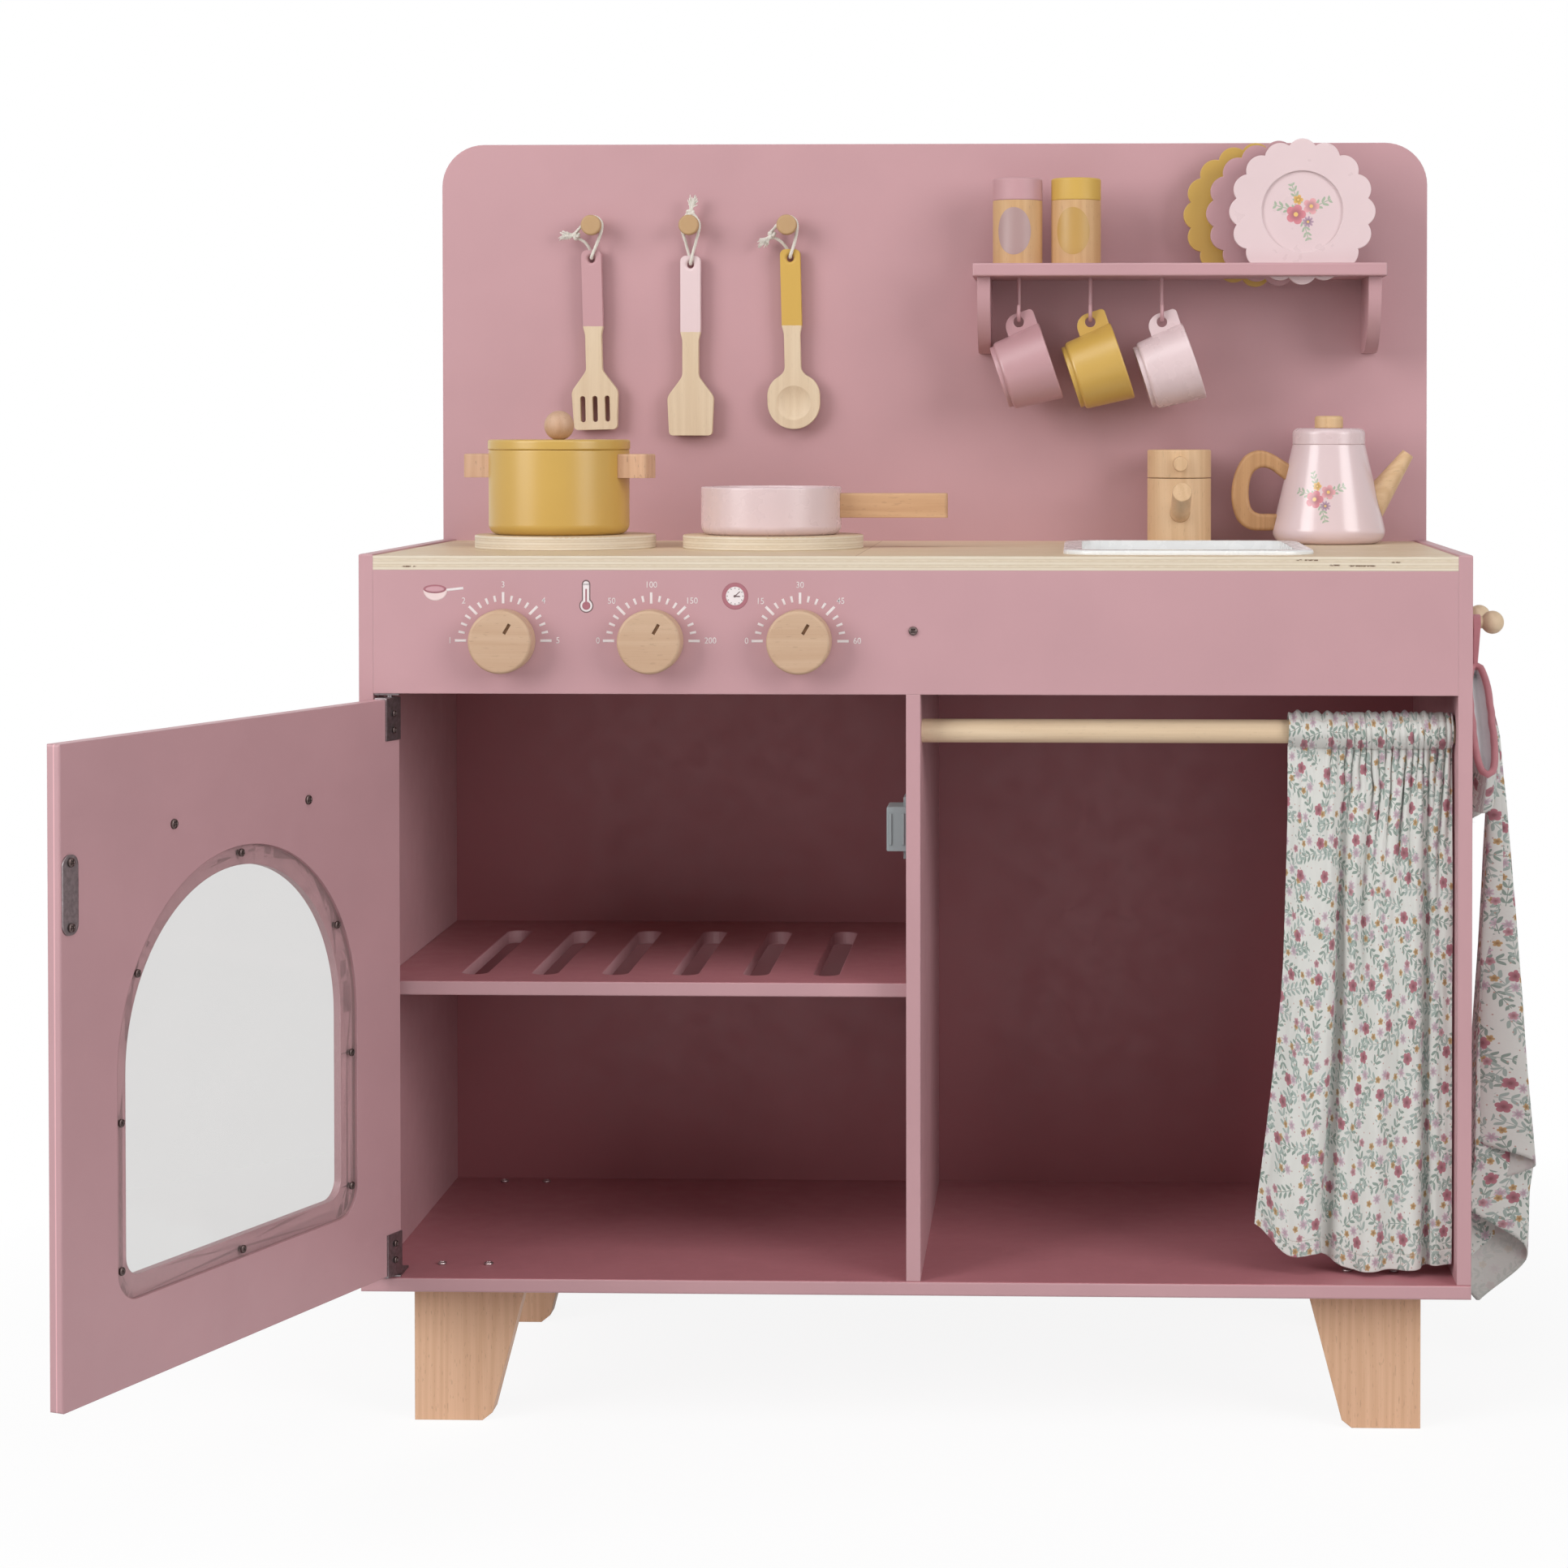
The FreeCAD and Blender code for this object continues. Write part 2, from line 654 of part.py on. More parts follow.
def splashback():
    half = WIDTH / 2
    corners = [(-half, FASCIA_BOTTOM, 0), (half, FASCIA_BOTTOM, 0), (half, HEIGHT, SPLASH_CORNER),
               (-half, HEIGHT, SPLASH_CORNER)]
    board = plate_xz(corners, WALL, WALL + BOARD)
    for x in peg_places():
        board = board.cut(Part.makeCylinder(PEG_R + RUNNING_FIT, PEG_SEAT, Vec(x, WALL, PEG_Z), BACKWARD))
    return board


def worktop():
    board = box(-INNER, INNER, FRONT, WALL, DECK - WORKTOP_THICK, DECK)
    gap = 2 * SINK_CUT_GAP
    bowl = rectangle(SINK_X, SINK_Y, SINK_WIDTH - 2 * SINK_RIM + gap, SINK_LENGTH - 2 * SINK_RIM + gap,
                     SINK_CORNER - SINK_RIM + SINK_CUT_GAP)
    return board.cut(plate_xy(bowl, DECK - WORKTOP_THICK, DECK))


def control_panel():
    panel = box(-INNER, INNER, FRONT, FRONT + BOARD, FASCIA_BOTTOM, FASCIA_TOP)
    for x in knob_places():
        seat = Vec(x, FRONT, FASCIA_BOTTOM + KNOB_RISE)
        panel = panel.cut(Part.makeCylinder(KNOB_STEM_R + RUNNING_FIT, BOARD, seat, BACKWARD))
    return cut_bores(panel, fascia_screw())


def oven_rack():
    top = FLOOR + RACK_RISE
    y0, y1 = FRONT + RACK_SETBACK, WALL
    rack = box(-INNER, DIVIDER_LEFT, y0, y1, top - RACK_THICK, top)
    rack = softened(rack, EDGE_ROUND, lies_at("y", y0))
    slot_y0, slot_y1 = y0 + RACK_SLOT_FRONT, y1 - RACK_SLOT_BACK
    for step in range(RACK_SLOTS):
        x = LEFT_BAY + (step - (RACK_SLOTS - 1) / 2) * RACK_SLOT_PITCH
        slot = rectangle(x, (slot_y0 + slot_y1) / 2, RACK_SLOT_WIDTH, slot_y1 - slot_y0, RACK_SLOT_WIDTH / 2)
        rack = rack.cut(plate_xy(slot, top - RACK_THICK, top))
    return rack


def curtain_rod():
    start = Vec(DIVIDER_RIGHT - ROD_SEAT, ROD_Y, ROD_Z)
    return Part.makeCylinder(ROD_R, INNER - DIVIDER_RIGHT + 2 * ROD_SEAT, start, RIGHT)


def legs():
    solids = []
    for outer, side, y in leg_places():
        slope = (LEG_TOP_WIDTH - LEG_FOOT_WIDTH - LEG_CHAMFER) / LEG_HEIGHT
        knee = outer - side * (LEG_FOOT_WIDTH + LEG_CHAMFER * (1 + slope))
        corners = [(outer, 0, 0), (outer, LEG_HEIGHT, 0), (outer - side * LEG_TOP_WIDTH, LEG_HEIGHT, 0),
                   (knee, LEG_CHAMFER, 0), (outer - side * LEG_FOOT_WIDTH, 0, 0)]
        solids.append(cut_bores(plate_xz(corners, y, y + LEG_THICK), leg_screws()))
    return Part.makeCompound(solids)


def cabinet_screws():
    places = leg_screws() + fascia_screw() + fixed_leaf_screws()
    return Part.makeCompound([screw(*place) for place in places])


def hinge_fixed_leaves():
    solids = []
    for level, way in hinge_levels():
        arm_end = level + way * LEAF_THICK
        wall_end = level + way * LEAF_HEIGHT
        arm = box(-INNER, -INNER + LEAF_WIDTH, FRONT + EDGE_ROUND, FRONT + LEAF_DEPTH,
                  min(level, arm_end), max(level, arm_end))
        wall = box(-INNER, -INNER + LEAF_THICK, PIVOT.y + BOARD / 2 + 2 * DOOR_LEAF_THICK, FRONT + LEAF_DEPTH,
                   min(level, wall_end), max(level, wall_end))
        pin = Part.makeCylinder(PIN_R, PIN_LENGTH, Vec(PIVOT.x, PIVOT.y, level), UP * way)
        solids.append(cut_bores(arm.fuse([wall, pin]).removeSplitter(), fixed_leaf_screws()))
    return Part.makeCompound(solids)


def magnet_catch():
    front = FRONT + BOARD + STRIKE_THICK + CATCH_GAP + POLE_PROUD
    z0, z1 = CATCH_Z - CATCH_HEIGHT / 2, CATCH_Z + CATCH_HEIGHT / 2
    housing = box(DIVIDER_LEFT - CATCH_REACH, DIVIDER_LEFT, front, front + CATCH_DEPTH, z0, z1)
    housing = softened(housing, EDGE_ROUND, lies_at("x", DIVIDER_LEFT - CATCH_REACH))
    flange = box(DIVIDER_LEFT - CATCH_FLANGE_THICK, DIVIDER_LEFT, front + CATCH_FLANGE, front + CATCH_DEPTH,
                 z0 - CATCH_FLANGE, z1 + CATCH_FLANGE)
    catch = housing.fuse(flange).removeSplitter()
    for pole in pole_boxes():
        catch = catch.cut(pole)
    return Part.makeCompound([catch] + pole_boxes())


def pole_boxes():
    front = FRONT + BOARD + STRIKE_THICK + CATCH_GAP
    middle = DIVIDER_LEFT - CATCH_REACH / 2
    reach = CATCH_HEIGHT / 2 - POLE_GAP
    boxes = []
    for side in (-1, 1):
        x = middle + side * POLE_GAP - POLE_THICK / 2
        boxes.append(box(x, x + POLE_THICK, front, front + CATCH_DEPTH / 2, CATCH_Z - reach, CATCH_Z + reach))
    return boxes


def on_open_door(shape):
    """Moves a piece from the closed door's own frame to the door standing open."""
    shape = shape.copy()
    shape.rotate(Vec(0, 0, 0), UP, -DOOR_OPEN)
    shape.translate(PIVOT)
    return shape


def arch(inset):
    half = WINDOW_HALF - inset
    foot = WINDOW_BOTTOM + inset
    crown = WINDOW_SPRING + half
    corner = WINDOW_CORNER - inset / 2
    return [(DOOR_MIDDLE - half, foot, corner), (DOOR_MIDDLE + half, foot, corner),
            (DOOR_MIDDLE + half, crown, half), (DOOR_MIDDLE - half, crown, half)]


def door_panel():
    panel = box(-HINGE_EDGE, DOOR_FREE, -BOARD / 2, BOARD / 2, DOOR_BOTTOM, DOOR_TOP)
    panel = softened(panel, EDGE_ROUND, lies_at("x", DOOR_FREE))
    rebate_floor = BOARD / 2 - WINDOW_REBATE
    panel = panel.cut(plate_xz(arch(0), rebate_floor, BOARD / 2))
    panel = panel.cut(plate_xz(arch(WINDOW_LEDGE), -BOARD / 2, rebate_floor))
    for end, way in ((DOOR_BOTTOM, UP), (DOOR_TOP, DOWN)):
        panel = panel.cut(Part.makeCylinder(PIN_R + RUNNING_FIT, PIN_LENGTH, Vec(0, 0, end), way))
    screws = window_screws() + handle_bolts() + strike_screws() + door_leaf_screws()
    return on_open_door(cut_bores(panel, screws))


def door_window():
    floor = BOARD / 2 - WINDOW_REBATE
    pane = plate_xz(arch(LOOSE_FIT), floor, floor + PANE_THICK)
    return on_open_door(cut_bores(pane, window_screws()))


def door_handle():
    z = DOOR_TOP - HANDLE_DROP
    half = HANDLE_PITCH / 2 + HANDLE_OVERHANG
    end_round = HANDLE_BAR_R / 2
    bar = turned([(0, -half, 0), (HANDLE_BAR_R, -half, end_round), (HANDLE_BAR_R, half, end_round),
                  (0, half, 0)])
    bar.rotate(Vec(0, 0, 0), Vec(0, 1, 0), 90)
    bar.translate(Vec(DOOR_MIDDLE, -BOARD / 2 - HANDLE_REACH, z))
    posts = [Part.makeCylinder(HANDLE_POST_R, HANDLE_REACH, Vec(seat.x, -BOARD / 2, z), FORWARD)
             for seat, direction, length in handle_bolts()]
    handle = bar.fuse(posts).removeSplitter()
    return on_open_door(cut_bores(handle, handle_bolts()))


def strike_plate():
    outline = rectangle(strike_middle(), CATCH_Z, STRIKE_WIDTH, STRIKE_HEIGHT, STRIKE_CORNER)
    plate = plate_xz(outline, BOARD / 2, BOARD / 2 + STRIKE_THICK)
    return on_open_door(cut_bores(plate, strike_screws()))


def hinge_door_leaves():
    solids = []
    for level, way in ((DOOR_BOTTOM, 1), (DOOR_TOP, -1)):
        arm_end, leaf_end = level - way * DOOR_LEAF_THICK, level + way * LEAF_HEIGHT
        back = BOARD / 2 + DOOR_LEAF_THICK
        leaf = box(-HINGE_EDGE, LEAF_WIDTH - HINGE_EDGE, BOARD / 2, back,
                   min(arm_end, leaf_end), max(arm_end, leaf_end))
        arm = box(-HINGE_EDGE, LEAF_WIDTH - HINGE_EDGE, -BOARD / 2 + EDGE_ROUND, back,
                  min(level, arm_end), max(level, arm_end))
        hole = Part.makeCylinder(PIN_R + RUNNING_FIT, DOOR_LEAF_THICK, Vec(0, 0, level), UP * -way)
        solids.append(cut_bores(leaf.fuse(arm).removeSplitter().cut(hole), door_leaf_screws()))
    return on_open_door(Part.makeCompound(solids))


def door_screws():
    places = window_screws() + handle_bolts() + strike_screws() + door_leaf_screws()
    return on_open_door(Part.makeCompound([screw(*place) for place in places]))


def knob(x):
    """Turned knob with its stem through the control panel and a retaining screw behind it."""
    base = LOOSE_FIT
    face = base + KNOB_LENGTH
    stem_end = -BOARD - LOOSE_FIT
    body = turned([(0, stem_end, 0), (KNOB_STEM_R, stem_end, 0), (KNOB_STEM_R, base, 0),
                   (KNOB_R, base, SMALL_ROUND), (KNOB_R, face, KNOB_ROUND), (0, face, 0)])
    slot = box(-POINTER_WIDTH / 2, POINTER_WIDTH / 2, POINTER_START, POINTER_START + POINTER_LENGTH,
               face - POINTER_DEPTH, face)
    slot.rotate(Vec(0, 0, 0), UP, -POINTER_TURN)
    body = body.cut(slot).cut(Part.makeCylinder(SCREW_R + RUNNING_FIT, SCREW_LENGTH + LOOSE_FIT,
                                                Vec(0, 0, stem_end), UP))
    retainer = Part.makeCylinder(KNOB_RETAINER_R, SCREW_HEAD_H, Vec(0, 0, stem_end - SCREW_HEAD_H), UP)
    retainer = retainer.fuse(Part.makeCylinder(SCREW_R, SCREW_LENGTH, Vec(0, 0, stem_end), UP)).removeSplitter()
    pair = Part.makeCompound([body, retainer])
    pair.rotate(Vec(0, 0, 0), RIGHT, 90)
    pair.translate(Vec(x, FRONT, FASCIA_BOTTOM + KNOB_RISE))
    return pair


def fold_section(shares, width, fold, thick, place):
    """Closed wire of a folded cloth's section: arcs that bulge forward and back in turn."""
    steps = [0.0]
    for share in shares:
        steps.append(steps[-1] + share * width / sum(shares))
    arcs = []
    for i, (a0, a1) in enumerate(zip(steps, steps[1:])):
        bulge = min(fold, FOLD_ROUNDNESS * (a1 - a0))
        arcs.append((a0, a1, bulge if i % 2 else -bulge))
    edges = []
    for a0, a1, bulge in arcs:
        crest = place((a0 + a1) / 2, bulge - thick / 2)
        edges.append(Part.Arc(place(a0, -thick / 2), crest, place(a1, -thick / 2)))
    edges.append(Part.LineSegment(place(width, -thick / 2), place(width, thick / 2)))
    for a0, a1, bulge in reversed(arcs):
        crest = place((a0 + a1) / 2, bulge + thick / 2)
        edges.append(Part.Arc(place(a1, thick / 2), crest, place(a0, thick / 2)))
    edges.append(Part.LineSegment(place(0, thick / 2), place(0, -thick / 2)))
    return Part.Wire([edge.toShape() for edge in edges])


def curtain():
    """Gathered curtain: three main folds that widen to the hem and a channel round the rod."""
    right = INNER - CURTAIN_SIDE_GAP
    hem = FLOOR + CURTAIN_HEM_GAP
    channel = ROD_R + LOOSE_FIT + CHANNEL_WALL
    shoulder = CHANNEL_SHOULDER
    levels = [
        (hem, CURTAIN_HEM_WIDTH, CURTAIN_HEM_FOLD, CURTAIN_THICK),
        (hem + CURTAIN_WAIST_RISE, CURTAIN_WAIST_WIDTH, CURTAIN_HEM_FOLD, CURTAIN_THICK),
        (ROD_Z - 2 * channel, CURTAIN_TOP_WIDTH, CURTAIN_TOP_FOLD, CURTAIN_THICK),
        (ROD_Z - shoulder, CURTAIN_TOP_WIDTH, CHANNEL_WALL / 2, 2 * shoulder),
        (ROD_Z, CURTAIN_TOP_WIDTH, CHANNEL_WALL / 3, 2 * channel),
        (ROD_Z + shoulder, CURTAIN_TOP_WIDTH, CHANNEL_WALL / 2, 2 * shoulder),
        (ROD_Z + channel + CURTAIN_HEADER, CURTAIN_TOP_WIDTH, CURTAIN_TOP_FOLD, CURTAIN_THICK),
    ]
    sections = []
    for z, width, fold, thick in levels:
        sections.append(fold_section(CURTAIN_FOLD_SHARES, width, fold, thick,
                                     lambda a, b, z=z, width=width: Vec(right - width + a, ROD_Y + b, z)))
    cloth = Part.makeLoft(sections, True, True)
    bore = Part.makeCylinder(ROD_R + LOOSE_FIT, WIDTH, Vec(0, ROD_Y, ROD_Z), RIGHT)
    return cloth.cut(bore)


def hob_places():
    return [LEFT_BAY + HOB_OFFSET + side * HOB_PITCH / 2 for side in (-1, 1)]


def hob_discs():
    discs = []
    for x in hob_places():
        profile = [(0, DECK, 0), (HOB_R, DECK, SMALL_ROUND), (HOB_R, HOB_TOP, EDGE_ROUND), (0, HOB_TOP, 0)]
        discs.append(turned(profile, x, HOB_Y))
    return Part.makeCompound(discs)


def pot_place():
    return hob_places()[0] + POT_SHIFT


def vessel(radius, height, wall, floor, outer_round, x, y, z):
    """Turned open vessel with a rounded foot and a rounded inner corner."""
    inner = radius - wall
    inner_round = min(outer_round, wall)
    return turned([(0, z, 0), (radius, z, outer_round), (radius, z + height, RIM_ROUND),
                   (inner, z + height, RIM_ROUND), (inner, z + floor, inner_round), (0, z + floor, 0)], x, y)


def pot_body():
    return vessel(POT_R, POT_HEIGHT, POT_WALL, POT_FLOOR, POT_ROUND, pot_place(), HOB_Y, HOB_TOP)


def seated_grip(x, z, radius, reach, width, height, corner, turn):
    """Wooden grip that stands out from a round wall, its root hollowed to the wall's curve."""
    start = radius - GRIP_SEAT
    root = [(x + start, HOB_Y - width / 2, 0), (x + radius + reach, HOB_Y - width / 2, corner),
            (x + radius + reach, HOB_Y + width / 2, corner), (x + start, HOB_Y + width / 2, 0)]
    grip = plate_xy(root, z - height / 2, z + height / 2)
    grip = softened(grip, EDGE_ROUND, lies_at("z", z + height / 2))
    grip = grip.cut(Part.makeCylinder(radius, 2 * height, Vec(x, HOB_Y, z - height), UP))
    grip.rotate(Vec(x, HOB_Y, 0), UP, turn)
    return grip


def pot_handles():
    z = HOB_TOP + POT_GRIP_RISE
    return Part.makeCompound([
        seated_grip(pot_place(), z, POT_R, POT_GRIP_REACH, POT_GRIP_WIDTH, POT_GRIP_HEIGHT, POT_GRIP_ROUND,
                    POT_TURN + half_turn) for half_turn in (0, 180)])


def pot_lid():
    rim = HOB_TOP + POT_HEIGHT
    plug = POT_R - POT_WALL - LOOSE_FIT
    top = rim + POT_LID_THICK
    return turned([(0, rim - POT_PLUG_THICK, 0), (plug, rim - POT_PLUG_THICK, RIM_ROUND), (plug, rim, 0),
                   (POT_LID_R, rim, SMALL_ROUND), (POT_LID_R, top, POT_LID_ROUND), (0, top, 0)],
                  pot_place(), HOB_Y)


def pot_lid_knob():
    top = HOB_TOP + POT_HEIGHT + POT_LID_THICK
    ball = Part.makeSphere(POT_KNOB_R, Vec(pot_place(), HOB_Y, top + POT_KNOB_FLAT))
    return ball.cut(Part.makeCylinder(POT_KNOB_R, POT_KNOB_R, Vec(pot_place(), HOB_Y, top - POT_KNOB_R), UP))


def pan_place():
    return hob_places()[1] + PAN_SHIFT


def pan_body():
    return vessel(PAN_R, PAN_HEIGHT, PAN_WALL, PAN_FLOOR, PAN_ROUND, pan_place(), HOB_Y, HOB_TOP)


def pan_handle():
    return seated_grip(pan_place(), HOB_TOP + PAN_GRIP_RISE, PAN_R, PAN_GRIP_REACH, PAN_GRIP_WIDTH,
                       PAN_GRIP_HEIGHT, PAN_GRIP_ROUND, 0)


def sink_basin():
    rim = plate_xy(rectangle(SINK_X, SINK_Y, SINK_WIDTH, SINK_LENGTH, SINK_CORNER), DECK, DECK + SINK_RIM_THICK)
    rim = softened(rim, SINK_RIM_ROUND, lies_at("z", DECK + SINK_RIM_THICK))
    bottom = DECK - SINK_BOWL_DEPTH
    outer = (SINK_WIDTH - 2 * SINK_RIM, SINK_LENGTH - 2 * SINK_RIM, SINK_CORNER - SINK_RIM)
    inner = [size - 2 * SINK_WALL for size in outer[:2]] + [outer[2] - SINK_WALL]
    bowl = plate_xy(rectangle(SINK_X, SINK_Y, *outer), bottom, DECK)
    bowl = softened(bowl, SINK_FOOT_ROUND, lies_at("z", bottom))
    hollow = plate_xy(rectangle(SINK_X, SINK_Y, *inner), bottom + SINK_WALL, DECK + SINK_RIM_THICK)
    hollow = softened(hollow, SINK_FOOT_ROUND - SINK_WALL, lies_at("z", bottom + SINK_WALL))
    return rim.fuse(bowl).removeSplitter().cut(hollow)


def spout_line():
    """Start point and direction of the tap's spout."""
    rise = math.radians(SPOUT_RISE)
    direction = Vec(0, -math.cos(rise), math.sin(rise))
    root = Vec(SINK_X, TAP_Y - TAP_R, DECK + SPOUT_ROOT)
    return root - direction * SPOUT_SEAT, direction


def faucet_body():
    top = DECK + TAP_BODY_HEIGHT
    body = turned([(0, DECK, 0), (TAP_R, DECK, 0), (TAP_R, top, SMALL_ROUND), (0, top, 0)], SINK_X, TAP_Y)
    axle_end = Vec(SINK_X, TAP_Y, top)
    axle_well = Part.makeCylinder(TAP_AXLE_R + RUNNING_FIT, TAP_AXLE_LENGTH + LOOSE_FIT, axle_end, DOWN)
    start, direction = spout_line()
    spout_bore = Part.makeCylinder(SPOUT_R + RUNNING_FIT, SPOUT_REACH, start, direction)
    return body.cut(axle_well).cut(spout_bore)


def faucet_spout():
    start, direction = spout_line()
    length = SPOUT_SEAT + SPOUT_REACH / math.cos(math.radians(SPOUT_RISE))
    dowel = turned([(0, 0, 0), (SPOUT_R, 0, 0), (SPOUT_R, length, TURNED_ROUND), (0, length, 0)])
    dowel.rotate(Vec(0, 0, 0), RIGHT, 90 - SPOUT_RISE)
    dowel.translate(start)
    return dowel


def faucet_cap():
    """Turning cap with its axle, and the lever dowel seated in its front."""
    bottom = DECK + TAP_BODY_HEIGHT + TAP_SEAM
    top = bottom + TAP_CAP_HEIGHT
    axle_end = bottom - TAP_AXLE_LENGTH
    cap = turned([(0, axle_end, 0), (TAP_AXLE_R, axle_end, 0), (TAP_AXLE_R, bottom, 0),
                  (TAP_R, bottom, SMALL_ROUND), (TAP_R, top, EDGE_ROUND), (0, top, 0)], SINK_X, TAP_Y)
    seat = Vec(SINK_X, TAP_Y - TAP_R + LEVER_SEAT, (bottom + top) / 2)
    cap = cap.cut(Part.makeCylinder(LEVER_R + RUNNING_FIT, TAP_R, seat, FORWARD))
    length = LEVER_SEAT + LEVER_REACH
    lever = turned([(0, 0, 0), (LEVER_R, 0, 0), (LEVER_R, length, TURNED_ROUND), (0, length, 0)])
    lever.rotate(Vec(0, 0, 0), RIGHT, 90)
    lever.translate(seat)
    return Part.makeCompound([cap, lever])


def teapot_outer():
    """The teapot's outside as a solid cone frustum, which also seats its grip and spout."""
    return turned([(0, DECK, 0), (TEAPOT_BASE_R, DECK, TEAPOT_ROUND), (TEAPOT_TOP_R, DECK + TEAPOT_HEIGHT, 0),
                   (0, DECK + TEAPOT_HEIGHT, 0)], TEAPOT_X, TEAPOT_Y)


def teapot_body():
    floor = DECK + TEAPOT_FLOOR
    slope = (TEAPOT_BASE_R - TEAPOT_TOP_R) / TEAPOT_HEIGHT
    inner_base = TEAPOT_BASE_R - TEAPOT_WALL - slope * TEAPOT_FLOOR
    hollow = turned([(0, floor, 0), (inner_base, floor, TEAPOT_ROUND - TEAPOT_WALL / 2),
                     (TEAPOT_TOP_R - TEAPOT_WALL, DECK + TEAPOT_HEIGHT, 0), (0, DECK + TEAPOT_HEIGHT, 0)],
                    TEAPOT_X, TEAPOT_Y)
    return teapot_outer().cut(hollow)


def teapot_wall(rise):
    """Outer radius of the teapot at a height above its foot."""
    return TEAPOT_BASE_R + (TEAPOT_TOP_R - TEAPOT_BASE_R) * rise / TEAPOT_HEIGHT


def teapot_handle():
    """C-shaped wooden grip on the left, its two ends seated on the wall."""
    top = TEAPOT_HEIGHT
    foot = TEAPOT_GRIP_FOOT
    bar = TEAPOT_GRIP_BAR
    middle = TEAPOT_GRIP_WAIST
    wall = teapot_wall(middle)
    seat_top = teapot_wall(top - bar) - TEAPOT_GRIP_SEAT
    seat_foot = teapot_wall(foot) - TEAPOT_GRIP_SEAT
    reach = wall + TEAPOT_GRIP_REACH
    root_top = foot + TEAPOT_GRIP_ROOT
    corners = [(seat_top, top - TEAPOT_GRIP_DIP, 0), (wall + TEAPOT_GRIP_SHOULDER, top, TEAPOT_GRIP_ROUND),
               (reach, middle, TEAPOT_GRIP_BACK_ROUND), (wall + TEAPOT_GRIP_HEEL, foot, TEAPOT_GRIP_ROUND),
               (seat_foot, foot, 0), (seat_foot, root_top, 0),
               (wall + TEAPOT_GRIP_FOOT_GAP, root_top, TEAPOT_GRIP_INNER_ROUND),
               (reach - bar, middle, TEAPOT_GRIP_INNER_ROUND),
               (wall + TEAPOT_GRIP_TOP_GAP, top - bar, TEAPOT_GRIP_INNER_ROUND),
               (seat_top, top - bar - TEAPOT_GRIP_DIP, 0)]
    placed = [(TEAPOT_X - a, DECK + b, radius) for a, b, radius in corners]
    half = TEAPOT_GRIP_THICK / 2
    grip = plate_xz(placed, TEAPOT_Y - half, TEAPOT_Y + half)
    return grip.cut(teapot_outer())


def teapot_spout():
    angle = math.radians(TEAPOT_SPOUT_ANGLE)
    direction = Vec(math.cos(angle), 0, math.sin(angle))
    start = Vec(TEAPOT_X + TEAPOT_TOP_R, TEAPOT_Y, DECK + TEAPOT_SPOUT_RISE)
    stick = Part.makeCone(TEAPOT_SPOUT_ROOT_R, TEAPOT_SPOUT_TIP_R, TEAPOT_SPOUT_LENGTH, start, direction)
    return stick.cut(teapot_outer())


def teapot_lid():
    rim = DECK + TEAPOT_HEIGHT
    plug = TEAPOT_TOP_R - TEAPOT_WALL - 2 * LOOSE_FIT
    top = rim + TEAPOT_LID_HEIGHT
    return turned([(0, rim - TEAPOT_PLUG, 0), (plug, rim - TEAPOT_PLUG, RIM_ROUND), (plug, rim, 0),
                   (TEAPOT_TOP_R, rim, SMALL_ROUND), (TEAPOT_TOP_R, top, TEAPOT_LID_ROUND), (0, top, 0)],
                  TEAPOT_X, TEAPOT_Y)


def teapot_lid_knob():
    foot = DECK + TEAPOT_HEIGHT + TEAPOT_LID_HEIGHT
    top = foot + TEAPOT_KNOB_HEIGHT
    return turned([(0, foot, 0), (TEAPOT_KNOB_R, foot, TURNED_ROUND), (TEAPOT_KNOB_R, top, TEAPOT_KNOB_ROUND),
                   (0, top, 0)], TEAPOT_X, TEAPOT_Y)


def plate_places():
    """X and Y of the middle of each plate, from the wall to the front."""
    first = SHELF_RIGHT - PLATE_FIRST_END
    rear = WALL - PLATE_FIRST_SETBACK
    return [(first + step * PLATE_STEP_X, rear - step * PLATE_STEP_Y) for step in range(3)]


def spice_shelf():
    board = box(SHELF_LEFT, SHELF_RIGHT, WALL - SHELF_DEPTH, WALL, SHELF_TOP - SHELF_THICK, SHELF_TOP)
    board = softened(board, EDGE_ROUND, lies_at("y", WALL - SHELF_DEPTH))
    rise = PLATE_R - PLATE_SINK
    half = math.sqrt(PLATE_R ** 2 - rise ** 2) + LOOSE_FIT
    gap = PLATE_THICK / 2 + LOOSE_FIT
    for x, y in plate_places():
        board = board.cut(box(x - half, x + half, y - gap, y + gap, SHELF_TOP - SHELF_THICK, SHELF_TOP))
    return board


def shelf_brackets():
    top = SHELF_TOP - SHELF_THICK
    corners = [(WALL, top, 0), (WALL, top - BRACKET_DROP, 0),
               (WALL - BRACKET_DEPTH, top - BRACKET_DROP, BRACKET_CURVE), (WALL - BRACKET_DEPTH, top, 0)]
    left = SHELF_LEFT + BRACKET_INSET
    right = SHELF_RIGHT - BRACKET_INSET - BOARD
    return Part.makeCompound([plate_yz(corners, x, x + BOARD) for x in (left, right)])


def hook_places():
    return [SHELF_LEFT + HOOK_FIRST + step * HOOK_PITCH for step in range(3)]


